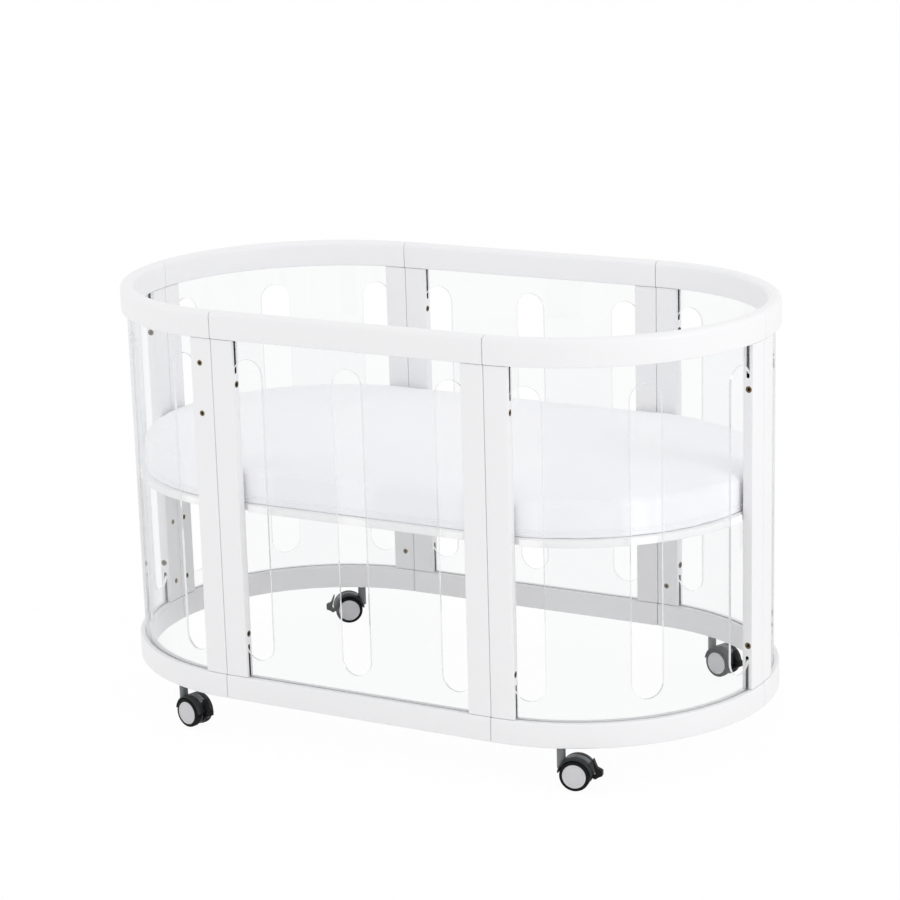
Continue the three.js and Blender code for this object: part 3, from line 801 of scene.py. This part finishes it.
def copies(name, shape, places):
    """One mesh of copies of a shape at places, which are (point, facing, along). The shape
    itself goes."""
    mesh = bpy.data.meshes.new(name)
    mesh.from_pydata([tuple(point) for point, _, _ in places], [], [])
    for index, key in ((1, "facing"), (2, "along")):
        attribute = mesh.attributes.new(key, "FLOAT_VECTOR", "POINT")
        attribute.data.foreach_set("vector", np.array([p[index] for p in places]).ravel())
    obj = linked(name, mesh)
    modifier = obj.modifiers.new("copies", "NODES")
    modifier.node_group = COPIES
    inputs = {item.name: item.identifier for item in COPIES.interface.items_tree
              if item.in_out == "INPUT"}
    modifier[inputs["Shape"]] = shape
    modifier[inputs["Finish"]] = shape.data.materials[0]
    settled(obj)
    smooth(obj.data)
    bpy.data.objects.remove(shape)
    return obj


def lathe(name, profile, sides, material, degrees=35):
    """A profile of (radius, height) turned round Z. It starts and ends on the axis or closes
    on itself."""
    profile = np.array(profile, float)
    angles = np.arange(sides) * 2 * math.pi / sides
    vertices = []
    for angle in angles:
        for radius, height in profile:
            vertices.append((radius * math.cos(angle), radius * math.sin(angle), height))
    count = len(profile)
    faces = []
    steps = count - 1 if profile[0][0] == 0 else count
    for i in range(sides):
        k = (i + 1) % sides
        for j in range(steps):
            n = (j + 1) % count
            corners = [i * count + j, i * count + n, k * count + n, k * count + j]
            if profile[j][0] == 0:
                corners.pop(3)
            elif profile[n][0] == 0:
                corners.pop(2)
            faces.append(tuple(corners))
    return make_object(name, vertices, faces, material, degrees)


def socket_head(diameter, height, socket, material):
    """A round head with a hexagon socket, its face at Z = 0 and its body below."""
    r = diameter / 2
    head = lathe("head_shape", [
        (0, 0), (r * 0.8, 0), (r * 0.93, -0.12 * height), (r, -0.32 * height), (r, -height),
        (0, -height),
    ], 32, material)
    hexagon = circle(socket / 2 / math.cos(math.pi / 6), 6)
    cut(head, [prism("tool", hexagon, 1.4 * height, Matrix.Identity(4))])
    return head


def insert_shape(material):
    """A threaded insert: a thin collar that lies on the wood and a threaded bore behind it."""
    outer = INSERT_BORE / 2 - 0.05 * MM
    collar = INSERT_COLLAR / 2
    profile = [(outer, -INSERT_DEPTH + 0.5 * MM), (outer, 0), (collar, 0)]
    profile += [(collar, 0.3 * MM), (collar - 0.25 * MM, 0.5 * MM), (outer - 1.0 * MM, 0.5 * MM)]
    pitch = 1 * MM
    for turn in range(8):
        depth = -0.4 * MM - turn * pitch
        profile.append((outer - 1.3 * MM, depth))
        profile.append((outer - 0.85 * MM, depth - pitch / 2))
    profile.append((outer - 1.1 * MM, -INSERT_DEPTH + 1.2 * MM))
    profile.append((0, -INSERT_DEPTH + 1 * MM))
    profile.append((0, -INSERT_DEPTH + 0.5 * MM))
    return lathe("insert_shape", [profile[-1]] + profile[:-1], 24, material)


def fixings():
    """The connecting bolts' heads, the inserts that no screw fills, and near-black discs of painted
    shade deep in the heads' sockets and the inserts' bores.
    """
    heads, inserts, shade_discs = [], [], []
    on_face = POST_DEPTH / 2 + 0.02 * MM
    for panel in PANELS:
        for seam, side, beside_straight in panel.ends():
            facing = panel.direction(seam, (0, 0, side))
            for v in CONNECTOR_HEIGHTS:
                spot = Vector((-CONNECTOR_INSET, v, side * (POST_WIDTH - 0.5 * MM)))
                point = panel.place(seam) @ spot
                heads.append((point, facing, panel.direction(seam, (0.4, 1, 0))))
                shade_discs.append((point - facing * 0.9 * MM, facing, UP))
            for w, v, way in insert_places(panel, seam, side, beside_straight):
                if v != INSERT_HEIGHTS[-1]:
                    point = panel.place(w) @ Vector((way * on_face, v, 0))
                    inserts.append((point, panel.direction(w, (way, 0, 0)), UP))
    for point, facing, along in inserts:
        shade_discs.append((point - facing * 1.6 * MM, facing, along))
    head = socket_head(CONNECTOR_HEAD, 1.4 * MM, 5.2 * MM, BRONZE)
    # A near-black disc, painted shade, lies deep in each head's socket and each insert's bore.
    shade_disc = prism("plug_shape", circle(2.7 * MM, 16), 0.3 * MM, Matrix.Identity(4), BORE_SHADE)
    finished(copies("connecting_bolt_heads", head, heads), "crib_frame")
    finished(copies("threaded_inserts", insert_shape(BRASS), inserts), "crib_frame")
    finished(copies("bore_shadows", shade_disc, shade_discs), "crib_frame")


# ---- mattress base --------------------------------------------------------------------------
def base_board():
    """The board under the mattress, with a notch in its rim round each pair of posts."""
    rim = -SHEET / 2 - BASE_RIM_GAP
    sunk = -POST_DEPTH / 2 - BASE_NOTCH_DEPTH_GAP
    notch = POST_WIDTH + BASE_NOTCH_GAP
    corner = 2 * MM
    outline = []
    for panel in PANELS:
        steps = 72 if panel.curved else 12
        spans = [
            (np.full(5, sunk), np.linspace(0, notch - corner, 5)),
            (np.array([sunk + 0.6 * MM, sunk + corner]), np.array([notch - 0.6 * MM, notch])),
            (np.array([rim - corner, rim - 0.6 * MM]), np.array([notch, notch + 0.6 * MM])),
        ]
        end = panel.length
        middle = (np.full(steps, rim), np.linspace(notch + corner, end - notch - corner, steps))
        mirrored = [(u[::-1], end - w[::-1]) for u, w in reversed(spans)]
        for u, w in spans + [middle] + mirrored:
            outline.extend(panel.at(u, 0, w)[:, :2])
    outline = np.array(outline)
    keep = np.linalg.norm(outline - np.roll(outline, 1, 0), axis=1) > 1e-6
    board = swept(
        "finished_mattress_base", outline[keep],
        lambda x, y, z: np.stack([x, y, np.full(len(x), z)], 1),
        BASE_BOTTOM, BASE_TOP, BASE_EASE, 1, LACQUER
    )
    finished(board, "mattress_base", ["mattress_base"])


def brackets():
    """An angle bracket behind each quarter's posts, screwed to the upper row of inserts."""
    post_face = -POST_DEPTH / 2 - BRACKET_POST_GAP
    top = BASE_BOTTOM - GAP
    plate = BRACKET_PLATE
    v = INSERT_HEIGHTS[-1]
    outline = filleted([
        (post_face, top, 5 * MM),
        (post_face - BRACKET_REACH, top, BRACKET_EDGE),
        (post_face - BRACKET_REACH, top - plate, BRACKET_EDGE),
        (post_face - plate, top - plate, 2 * MM),
        (post_face - plate, top - BRACKET_DROP, BRACKET_EDGE),
        (post_face, top - BRACKET_DROP, BRACKET_EDGE),
    ], 4)
    screws = []
    for panel in QUARTERS:
        for seam, side, beside_straight in panel.ends():
            w = seam + side * INSERT_FROM_SEAM
            place = panel.place(w)
            name = f"{panel.name}_{'side' if beside_straight else 'end'}_angle_bracket"
            piece = prism(name, outline, BRACKET_WIDTH, place, STEEL)
            cut(piece, [rod_out(panel, w, v, BRACKET_BORE, post_face - 3 * plate, post_face + plate)])
            softened(piece, 0.35 * MM, 2, 50)
            replaced = [f"{panel.name}_base_bracket"] if beside_straight else []
            finished(piece, "mattress_base", replaced)
            point = place @ Vector((post_face - plate - 2.4 * MM, v, 0))
            screws.append((point, panel.direction(w, (-1, 0, 0)), UP))
    head = socket_head(10.5 * MM, 2.3 * MM, 4 * MM, STEEL)
    finished(copies("bracket_screws", head, screws), "mattress_base")


# ---- mattress -------------------------------------------------------------------------------
def mattress_profile(radius, bottom, top):
    """From the middle of the underside round the edge to the middle of the top: (radius, z)."""
    points = []
    flat_rings = 26
    inner = radius - MATTRESS_LOWER_ROUND
    for i in range(flat_rings):
        points.append((inner * i / flat_rings, bottom))
    for i in range(4):
        angle = i / 4 * math.pi / 2
        points.append((inner + MATTRESS_LOWER_ROUND * math.sin(angle),
                       bottom + MATTRESS_LOWER_ROUND * (1 - math.cos(angle))))
    side_low, side_high = bottom + MATTRESS_LOWER_ROUND, top - MATTRESS_TOP_ROUND
    for i in range(5):
        points.append((radius, side_low + (side_high - side_low) * i / 5))
    inner = radius - MATTRESS_TOP_ROUND
    for i in range(6):
        angle = i / 6 * math.pi / 2
        points.append((inner + MATTRESS_TOP_ROUND * math.cos(angle),
                       side_high + MATTRESS_TOP_ROUND * math.sin(angle)))
    for i in range(flat_rings + 1):
        points.append((inner * (1 - i / flat_rings), top))
    return np.array(points)


def mattress():
    """The cover as one closed cloth form. Its UV map is in metres, along the rim and over it."""
    profile = mattress_profile(MATTRESS_RADIUS - MATTRESS_INSET, MATTRESS_BOTTOM,
                               MATTRESS_TOP + MATTRESS_RISE)
    arc_steps, straight_steps = 108, 56
    arc_length = math.pi * MATTRESS_RADIUS
    rim, along = [], []
    distance = 0.0
    for side in (1, -1):
        for i in range(straight_steps):
            rim.append((side * (HALF - 2 * HALF * i / straight_steps), 0, -side))
            along.append(distance + 2 * HALF * i / straight_steps)
        distance += 2 * HALF
        for i in range(arc_steps):
            angle = -math.pi / 2 * side - math.pi * i / arc_steps
            rim.append((-side * HALF, math.cos(angle), math.sin(angle)))
            along.append(distance + arc_length * i / arc_steps)
        distance += arc_length
    count = len(rim)
    vertices = [(x + r * cx, r * cy, z) for r, z in profile for x, cx, cy in rim]
    faces = ring_faces(len(profile), count, "open")
    mesh = bpy.data.meshes.new("mattress_cover")
    mesh.from_pydata(vertices, [], faces)
    down = np.concatenate([[0], np.cumsum(np.linalg.norm(np.diff(profile, axis=0), axis=1))])
    layer = mesh.uv_layers.new(name="cloth")
    for polygon in mesh.polygons:
        for corner, vertex in zip(polygon.loop_indices, polygon.vertices):
            ring, step = divmod(vertex, count)
            wraps = step == 0 and polygon.vertices[0] % count == count - 1
            layer.data[corner].uv = (distance if wraps else along[step], down[ring])
    mesh.materials.append(CLOTH)
    piece = linked("mattress_cover", mesh)
    outward(mesh, 1e-6)
    inflate(piece)
    shape_seams(piece)
    modifier = piece.modifiers.new("smooth", "SUBSURF")
    modifier.levels = modifier.render_levels = 1
    settled(piece)
    smooth(piece.data, 80)
    finished(piece, "mattress", ["mattress"])
    piping(piece)


def inflate(piece):
    """The cover's cloth, blown up a little by its filling. It lies flat on the base, and no
    point moves further than the swell."""
    before = points_of(piece.data)
    modifier = piece.modifiers.new("cover", "CLOTH")
    settings = modifier.settings
    settings.quality = 5
    settings.mass = 0.25
    settings.tension_stiffness = 12
    settings.compression_stiffness = 12
    settings.bending_stiffness = 0.4
    settings.use_pressure = True
    settings.uniform_pressure_force = 3.5
    settings.effector_weights.gravity = 0
    modifier.collision_settings.use_collision = False
    scene = bpy.context.scene
    for number in range(1, 19):
        scene.frame_set(number)
    graph = bpy.context.evaluated_depsgraph_get()
    after = points_of(piece.evaluated_get(graph).data)
    piece.modifiers.clear()
    scene.frame_set(1)
    move = after - before
    length = np.linalg.norm(move, axis=1)
    move *= (MATTRESS_SWELL * np.tanh(length / MATTRESS_SWELL) / np.maximum(length, 1e-9))[:, None]
    sideways = np.linalg.norm(move[:, :2], axis=1)
    limit = MATTRESS_SIDE_SWELL * np.tanh(sideways / MATTRESS_SIDE_SWELL)
    move[:, :2] *= (limit / np.maximum(sideways, 1e-9))[:, None]
    shaped = before + move
    shaped[:, 2] = np.maximum(shaped[:, 2], MATTRESS_BOTTOM)
    piece.data.vertices.foreach_set("co", shaped.ravel())


def shape_seams(piece):
    """Draws the cover in along its seam, where the piping lies."""
    points = points_of(piece.data)
    x = np.clip(points[:, 0], -HALF, HALF)
    out = np.stack([points[:, 0] - x, points[:, 1]], 1)
    radius = np.linalg.norm(out, axis=1)
    out /= np.maximum(radius, 1e-9)[:, None]
    height = points[:, 2] - MATTRESS_BOTTOM - MATTRESS_SEAM_HEIGHT
    draw = np.exp(-(height / (2.4 * MM)) ** 2) * MATTRESS_SEAM_DEPTH
    draw *= radius > MATTRESS_RADIUS - 8 * MM
    points[:, :2] -= draw[:, None] * out
    piece.data.vertices.foreach_set("co", points.ravel())
    piece.data.update()


def on_side(tree, along, z):
    """The point on the cover's side at a distance along its rim, its normal and the way on."""
    arc = math.pi * MATTRESS_RADIUS
    along %= 4 * HALF + 2 * arc
    side = 1 if along < 2 * HALF + arc else -1
    along -= 0 if side > 0 else 2 * HALF + arc
    if along < 2 * HALF:
        middle, out = Vector((side * (along - HALF), 0, z)), Vector((0, -side, 0))
    else:
        angle = (along - 2 * HALF) / MATTRESS_RADIUS - math.pi / 2
        middle = Vector((side * HALF, 0, z))
        out = Vector((side * math.cos(angle), side * math.sin(angle), 0))
    point, normal, _, _ = tree.ray_cast(middle + out * 0.5, -out)
    return point, normal, UP.cross(out)


def piping(cover):
    """A cord sewn along the cover's seam, and the stitches that hold it."""
    tree = BVHTree.FromObject(cover, bpy.context.evaluated_depsgraph_get())
    z = MATTRESS_BOTTOM + MATTRESS_SEAM_HEIGHT
    rim = 4 * HALF + 2 * math.pi * MATTRESS_RADIUS
    count, sides = 640, 10
    vertices = []
    for i in range(count):
        point, normal, onwards = on_side(tree, rim * i / count, z)
        out = Vector((normal.x, normal.y, 0)).normalized()
        centre = point + out * 0.25 * PIPING
        for j in range(sides):
            angle = 2 * math.pi * j / sides
            ring = out * math.cos(angle) + UP * math.sin(angle)
            vertices.append(centre + ring * PIPING / 2)
    faces = ring_faces(count, sides, "joined")
    cord = make_object("mattress_piping", vertices, faces, CLOTH, 80)
    finished(cord, "mattress")
    stitches = []
    for i in range(int(rim / STITCH_PITCH)):
        point, normal, onwards = on_side(tree, i * STITCH_PITCH, z + 3.2 * MM)
        stitches.append((point + normal * 0.05 * MM, normal, onwards))
    corners = rectangle(-1.4 * MM, 1.4 * MM, -0.25 * MM, 0.25 * MM)
    outline = filleted([(a, b, 0.2 * MM) for a, b in corners], 2)
    stitch = prism("stitch_shape", outline, 0.5 * MM, Matrix.Identity(4), THREAD)
    finished(copies("mattress_stitches", stitch, stitches), "mattress")


# ---- casters --------------------------------------------------------------------------------
HOOD_OUTER = WHEEL_RADIUS + 5 * MM
HOOD_INNER = WHEEL_RADIUS + 1.6 * MM
HOOD_WIDTH = 39 * MM
WEB = 12 * MM
WHEEL_INNER = 7 * MM
WHEEL_OUTER = 21.5 * MM
TREAD_GROOVES = (11.6 * MM, 15.6 * MM)      # out from the caster's middle
HUB_RADIUS = 22 * MM
AXLE_RADIUS = 4 * MM
BARREL_RADIUS = 8 * MM
BARREL_TOP = FRAME_BOTTOM - 2.5 * MM
STEM_BOTTOM = BARREL_TOP - 20 * MM
BARREL_BOTTOM = STEM_BOTTOM - 18 * MM
LEVER_WIDTH = 11 * MM
AXLE = Vector((TRAIL, 0, WHEEL_RADIUS))
LEVER_PIN = Vector((TRAIL + HOOD_OUTER - 9.5 * MM, 0, WHEEL_RADIUS - 3 * MM))


def round_axle(radius, degrees):
    """The X and Z of a point round the axle, at an angle up from the tail."""
    angle = math.radians(degrees)
    return TRAIL + radius * math.cos(angle), WHEEL_RADIUS + radius * math.sin(angle)


def arc_bar(name, outline, start, end, steps, ease, material):
    """An outline in (radius, y) swept round the axle between two angles up from the tail."""
    def place(radius, y, along):
        x, z = round_axle(radius, start + math.degrees(along / HOOD_OUTER))
        return np.stack([x, y, z], 1)
    length = math.radians(end - start) * HOOD_OUTER
    return swept(name, outline, place, 0, length, ease, steps, material)


def rod_across(diameter, length, centre, sides=48):
    """A cylinder along Y."""
    matrix = Matrix.Translation(centre) @ ACROSS
    return prism("tool", circle(diameter / 2, sides), length, matrix)


def hood():
    """The shell over both wheels, with the web between them and room for the lever."""
    half = HOOD_WIDTH / 2
    band = 6.6 * MM
    recess = 0.9 * MM
    outline = filleted([
        (HOOD_INNER - 0.4 * MM, half, 0.5 * MM), (HOOD_INNER - 0.4 * MM, -half, 0.5 * MM),
        (HOOD_OUTER - 0.6 * MM, -half, 2.4 * MM), (HOOD_OUTER, -band - 1 * MM, 6 * MM),
        (HOOD_OUTER - recess, -band, 0.4 * MM), (HOOD_OUTER - recess, band, 0.4 * MM),
        (HOOD_OUTER, band + 1 * MM, 6 * MM), (HOOD_OUTER - 0.6 * MM, half, 2.4 * MM),
    ], 4)
    shell = arc_bar("hood_shape", outline, 5, 172, 60, 0.25 * MM, HOOD_PLASTIC)
    web = []
    for radius, first, last in ((HOOD_OUTER - 1.4 * MM, 12, 168), (HOOD_INNER - 3 * MM, 190, 348)):
        web.extend(round_axle(radius, degrees) for degrees in np.linspace(first, last, 40))
    cut(shell, [prism("web", web, WEB, ACROSS, HOOD_PLASTIC)], "UNION")
    slot = rectangle(LEVER_PIN.x - 5.5 * MM, LEVER_PIN.x + 20 * MM,
                     LEVER_PIN.z - 30 * MM, LEVER_PIN.z + 5.5 * MM)
    upright = Matrix.Translation((0, 0, BARREL_BOTTOM + 25 * MM))
    cut(shell, wheel_rooms() + [
        rod_across(2 * AXLE_RADIUS + 0.8 * MM, 60 * MM, AXLE),
        rod_across(4.8 * MM, 60 * MM, LEVER_PIN),
        prism("tool", slot, 6 * MM, ACROSS),
        prism("tool", circle(BARREL_RADIUS + 0.15 * MM, 48), 50.4 * MM, upright),
    ])
    return shell


def wheel_rooms():
    """The room for the two wheels, one on each side of the hood's web."""
    out = Vector((0, WEB / 2 + 20 * MM, 0))
    return [rod_across(2 * HOOD_INNER, 40 * MM, AXLE + side * out, 96) for side in (-1, 1)]


def crest():
    """The grey band over the hood, with the barrel that takes the stem."""
    band = 6.2 * MM
    outline = filleted([
        (HOOD_OUTER - 0.8 * MM, band, 0.2 * MM), (HOOD_OUTER - 0.8 * MM, -band, 0.2 * MM),
        (HOOD_OUTER - 0.1 * MM, -band, 0.4 * MM), (HOOD_OUTER + 0.1 * MM, 0, 30 * MM),
        (HOOD_OUTER - 0.1 * MM, band, 0.4 * MM),
    ], 3)
    strip = arc_bar("crest_shape", outline, 42, 127, 40, 0.5 * MM, CREST_PLASTIC)
    bearing = 5.3 * MM
    barrel = lathe("barrel_shape", [
        (0, STEM_BOTTOM), (bearing, STEM_BOTTOM), (bearing, BARREL_TOP),
        (BARREL_RADIUS - 0.5 * MM, BARREL_TOP), (BARREL_RADIUS - 0.5 * MM, BARREL_TOP - 1.2 * MM),
        (BARREL_RADIUS, BARREL_TOP - 1.7 * MM), (BARREL_RADIUS, BARREL_BOTTOM + 1 * MM),
        (BARREL_RADIUS - 1 * MM, BARREL_BOTTOM), (0, BARREL_BOTTOM),
    ], 48, CREST_PLASTIC)
    cut(barrel, wheel_rooms())
    return strip, barrel


def ribs_on_crest():
    """Fine ribs across the crest's lower half."""
    places = []
    for degrees in np.arange(44, 96, 3.2):
        angle = math.radians(degrees)
        out = Vector((math.cos(angle), 0, math.sin(angle)))
        places.append((AXLE + out * (HOOD_OUTER + 0.05 * MM), out, Vector((0, 1, 0))))
    outline = filleted(around(0, 0, [
        (-5, -0.4, 0), (5, -0.4, 0), (5, 0.35, 0.3), (-5, 0.35, 0.3),
    ]), 2)
    rib = prism("rib_shape", outline, 0.9 * MM, ACROSS, CREST_PLASTIC)
    return copies("crest_ribs", rib, places)


def tyre(side):
    """The wheel's rubber ring, with two fine grooves round its tread."""
    profile = around(HUB_RADIUS, WHEEL_INNER, [(-0.1, 0.2)])
    profile += around(WHEEL_RADIUS, WHEEL_INNER, [(-2, 0.2), (-0.6, 0.9), (0, 2.4)])
    for groove in TREAD_GROOVES:
        profile += around(WHEEL_RADIUS, groove, [(0, -0.5), (-0.7, -0.3), (-0.7, 0.3), (0, 0.5)])
    shoulder = [(0, -4), (-0.5, -2.3), (-1.7, -1), (-3.2, -0.5)]
    profile += around(WHEEL_RADIUS, WHEEL_OUTER, shoulder)
    profile += around(HUB_RADIUS, WHEEL_OUTER, [(0.6, -0.7), (-0.1, -1.4)])
    return wheel_part("tyre_shape", profile, side, TREAD, 96)


def hub(side):
    """The wheel's disc: a raised ring near its rim and a shallow dome in the middle."""
    r = HUB_RADIUS - 0.2 * MM
    face = WHEEL_OUTER
    inner = WHEEL_INNER + 0.5 * MM
    bore = AXLE_RADIUS + 0.5 * MM
    profile = [(0, face - 4 * MM), (bore, face - 4 * MM), (bore, inner), (r, inner)]
    profile += around(r, face, [
        (0, -1.2), (-0.3, -0.5), (-1, -0.15), (-2.6, -0.1), (-3.2, -0.5), (-3.5, -1), (-4.2, -1.1),
    ])
    profile += [(r * 0.6, face - 0.75 * MM), (r * 0.3, face - 0.55 * MM), (0, face - 0.5 * MM)]
    return wheel_part("hub_shape", profile, side, HUB_PLASTIC, 72)


def wheel_part(name, profile, side, material, sides):
    """A profile of (radius, distance out from the middle) turned round the axle."""
    part = lathe(name, profile, sides, material, 30)
    turn = Matrix.Rotation(-side * math.pi / 2, 4, "X")
    part.data.transform(Matrix.Translation(AXLE) @ turn)
    return part


def lever():
    """The brake's pedal with the thin fin above it, and the neck and pin that it turns on.
    The outline's points are distances out from the hood and up from the axle, in mm."""
    shell_x = TRAIL + HOOD_OUTER
    corners = [
        (-2.8, -6, 1), (1.5, -8, 3), (7.5, -3.5, 3), (14.3, -0.5, 1.5), (14.3, 9, 2), (11.5, 10.8, 1),
        (4.5, 14, 1.5), (-2, 29.5, 0.7), (-3.8, 29, 0.7), (1.6, 8, 5), (1.2, 2, 2), (-1.5, -1.5, 1),
    ]
    outline = filleted(around(shell_x, WHEEL_RADIUS, corners), 5)
    pedal = prism("lever_shape", outline, LEVER_WIDTH, ACROSS, LEVER_PLASTIC)
    softened(pedal, 0.8 * MM, 3, 50)
    neck = [(LEVER_PIN.x, LEVER_PIN.z + 2 * MM)]
    for degrees in range(100, 261, 20):
        angle = math.radians(degrees)
        across, up = 2 * MM * math.cos(angle), 2 * MM * math.sin(angle)
        neck.append((LEVER_PIN.x + across, LEVER_PIN.z + up))
    neck.append((LEVER_PIN.x, LEVER_PIN.z - 2 * MM))
    neck += [(shell_x + 1 * MM, WHEEL_RADIUS - 7 * MM), (shell_x + 1 * MM, WHEEL_RADIUS - 0.5 * MM)]
    arm = prism("neck", neck, 5.2 * MM, ACROSS, LEVER_PLASTIC)
    pin = rod_across(4 * MM, WEB - 1 * MM, LEVER_PIN)
    cut(pedal, [arm, pin], "UNION")
    return pedal


def stem():
    """The stem in the rail and in the barrel, with a collar between the two."""
    collar_top = FRAME_BOTTOM - GAP
    collar_bottom = collar_top - 1.9 * MM
    top = FRAME_BOTTOM + 31 * MM
    return lathe("stem_shape", [
        (0, STEM_BOTTOM + GAP), (5 * MM, STEM_BOTTOM + GAP), (5 * MM, collar_bottom),
        (7.6 * MM, collar_bottom), (8 * MM, collar_bottom + 0.3 * MM), (8 * MM, collar_top - 0.3 * MM),
        (7.6 * MM, collar_top), (4 * MM, collar_top), (4 * MM, top - 1 * MM), (3.2 * MM, top), (0, top),
    ], 40, STEEL)


def axle():
    half = WHEEL_OUTER - 4.3 * MM
    pin = lathe("axle_shape", [
        (0, -half), (AXLE_RADIUS - 0.5 * MM, -half), (AXLE_RADIUS, -half + 0.5 * MM),
        (AXLE_RADIUS, half - 0.5 * MM), (AXLE_RADIUS - 0.5 * MM, half), (0, half),
    ], 32, STEEL)
    pin.data.transform(Matrix.Translation(AXLE) @ ACROSS)
    return pin


def casters():
    """Each piece of a caster is made once, with the swivel at the origin and the wheels
    trailing along X, and copied to the four."""
    strip, barrel = crest()
    shapes = {
        "hood": (hood(), "caster", "caster_plastic", ["caster_hood"]),
        "crest": (strip, "caster", "caster_plastic", []),
        "barrel": (barrel, "caster", "caster_plastic", []),
        "ribs": (ribs_on_crest(), "caster", "caster_plastic", []),
        "axle": (axle(), "caster", "steel", ["caster_axle"]),
        "lever": (lever(), "brake", "lever_plastic", ["caster_brake_lever"]),
        "stem": (stem(), None, "steel", ["caster_stem"]),
        "tyre_a": (tyre(-1), "wheel_a", "caster_tread", ["caster_wheel_a"]),
        "hub_a": (hub(-1), "wheel_a", "hub_plastic", []),
        "tyre_b": (tyre(1), "wheel_b", "caster_tread", ["caster_wheel_b"]),
        "hub_b": (hub(1), "wheel_b", "hub_plastic", []),
    }
    for panel in QUARTERS:
        swivel = Vector(JOINTS[f"{panel.name}_caster_swivel"]["pos_m"])
        trail = Vector(JOINTS[f"{panel.name}_wheel_a_roll"]["pos_m"]) - swivel
        angle = math.atan2(trail.y, trail.x)
        matrix = Matrix.Translation((swivel.x, swivel.y, 0)) @ Matrix.Rotation(angle, 4, "Z")
        for part, (shape, body, slot_name, nodes) in shapes.items():
            piece = linked(f"{panel.name}_finished_{part}", shape.data.copy())
            piece.data.transform(matrix)
            rides = "crib_frame" if body is None else f"{panel.name}_{body}"
            finished(piece, rides, [f"{panel.name}_{node}" for node in nodes])
    for shape, _, _, _ in shapes.values():
        bpy.data.objects.remove(shape)


# ---- camera, light and floor ----------------------------------------------------------------
def camera():
    yaw, pitch, roll = (math.radians(angle) for angle in (28.85, 15.83, -1.55))
    right = Vector((math.cos(yaw), math.sin(yaw), 0))
    level_back = Vector((math.sin(yaw), -math.cos(yaw), 0))
    back = level_back * math.cos(pitch) + UP * math.sin(pitch)
    up = back.cross(right)
    turned_right = right * math.cos(roll) + up * math.sin(roll)
    turned_up = up * math.cos(roll) - right * math.sin(roll)
    data = bpy.data.cameras.new("camera")
    data.sensor_width = 36
    data.lens = 109.7
    data.shift_x = -0.0058
    data.shift_y = 0.0586
    data.clip_end = 100
    view = linked("camera", data)
    columns = Matrix((turned_right, turned_up, back)).transposed().to_4x4()
    view.matrix_world = Matrix.Translation((2.4336, -4.3903, 1.8118)) @ columns
    bpy.context.scene.camera = view


def lamp(name, place, size, power):
    """A round softbox that faces the crib."""
    data = bpy.data.lights.new(name, "AREA")
    data.shape = "DISK"
    data.size = size
    data.energy = power
    light = linked(name, data)
    light.location = place
    aim = Vector((0, 0, 0.4)) - Vector(place)
    light.rotation_mode = "QUATERNION"
    light.rotation_quaternion = aim.to_track_quat("-Z", "Y")


def seen_as_background(finish):
    """1 for the rays that should meet a plain white surround: the camera's, and those that
    gloss and glass send on."""
    total = path = finish.node("ShaderNodeLightPath", output="Is Camera Ray")
    for name in ("Is Glossy Ray", "Is Transmission Ray"):
        total = total.math("MAXIMUM", total, path.beside(name))
    return total


def surround(ambient):
    """A world that is white to look at and lights the crib at its own level."""
    world = bpy.data.worlds.new("white_surround")
    bpy.context.scene.world = world
    finish = Finish("white_surround", world)
    white = (1, 1, 1, 1)
    lit = finish.node("ShaderNodeBackground", None, {"Color": white, "Strength": ambient})
    seen = finish.node("ShaderNodeBackground", None, {"Color": white, "Strength": 1.0})
    finish.show(finish.mixed(seen_as_background(finish), lit, seen))


def floor(white_share):
    """A pale floor that takes a soft shadow. The white share of it always looks lit."""
    size = 14
    mesh = bpy.data.meshes.new("floor")
    corners = [(x, y, 0) for x, y in rectangle(-size, size, -size, size)]
    mesh.from_pydata(corners, [], [(0, 1, 2, 3)])
    finish = Finish("pale_floor")
    matt = finish.node("ShaderNodeBsdfDiffuse", None, {"Color": grey(0.95)})
    glow = finish.node("ShaderNodeEmission", None, {"Strength": 1.0})
    finish.show(finish.mixed(white_share * seen_as_background(finish), matt, glow))
    mesh.materials.append(finish.material)
    linked("floor", mesh)


bpy.context.scene.view_settings.view_transform = "Standard"
camera()
surround(0.96)
lamp("key_softbox", (2.2, -3.4, 3.6), 2.6, 7)
lamp("left_softbox", (-3.4, -2.2, 2.2), 2.4, 11)
lamp("top_softbox", (0.0, 0.6, 4.2), 3.0, 3)
lamp("right_softbox", (3.6, -0.6, 1.8), 1.8, 18)
floor(0.95)

rails()
posts()
clear_walls()
fixings()
base_board()
brackets()
mattress()
casters()
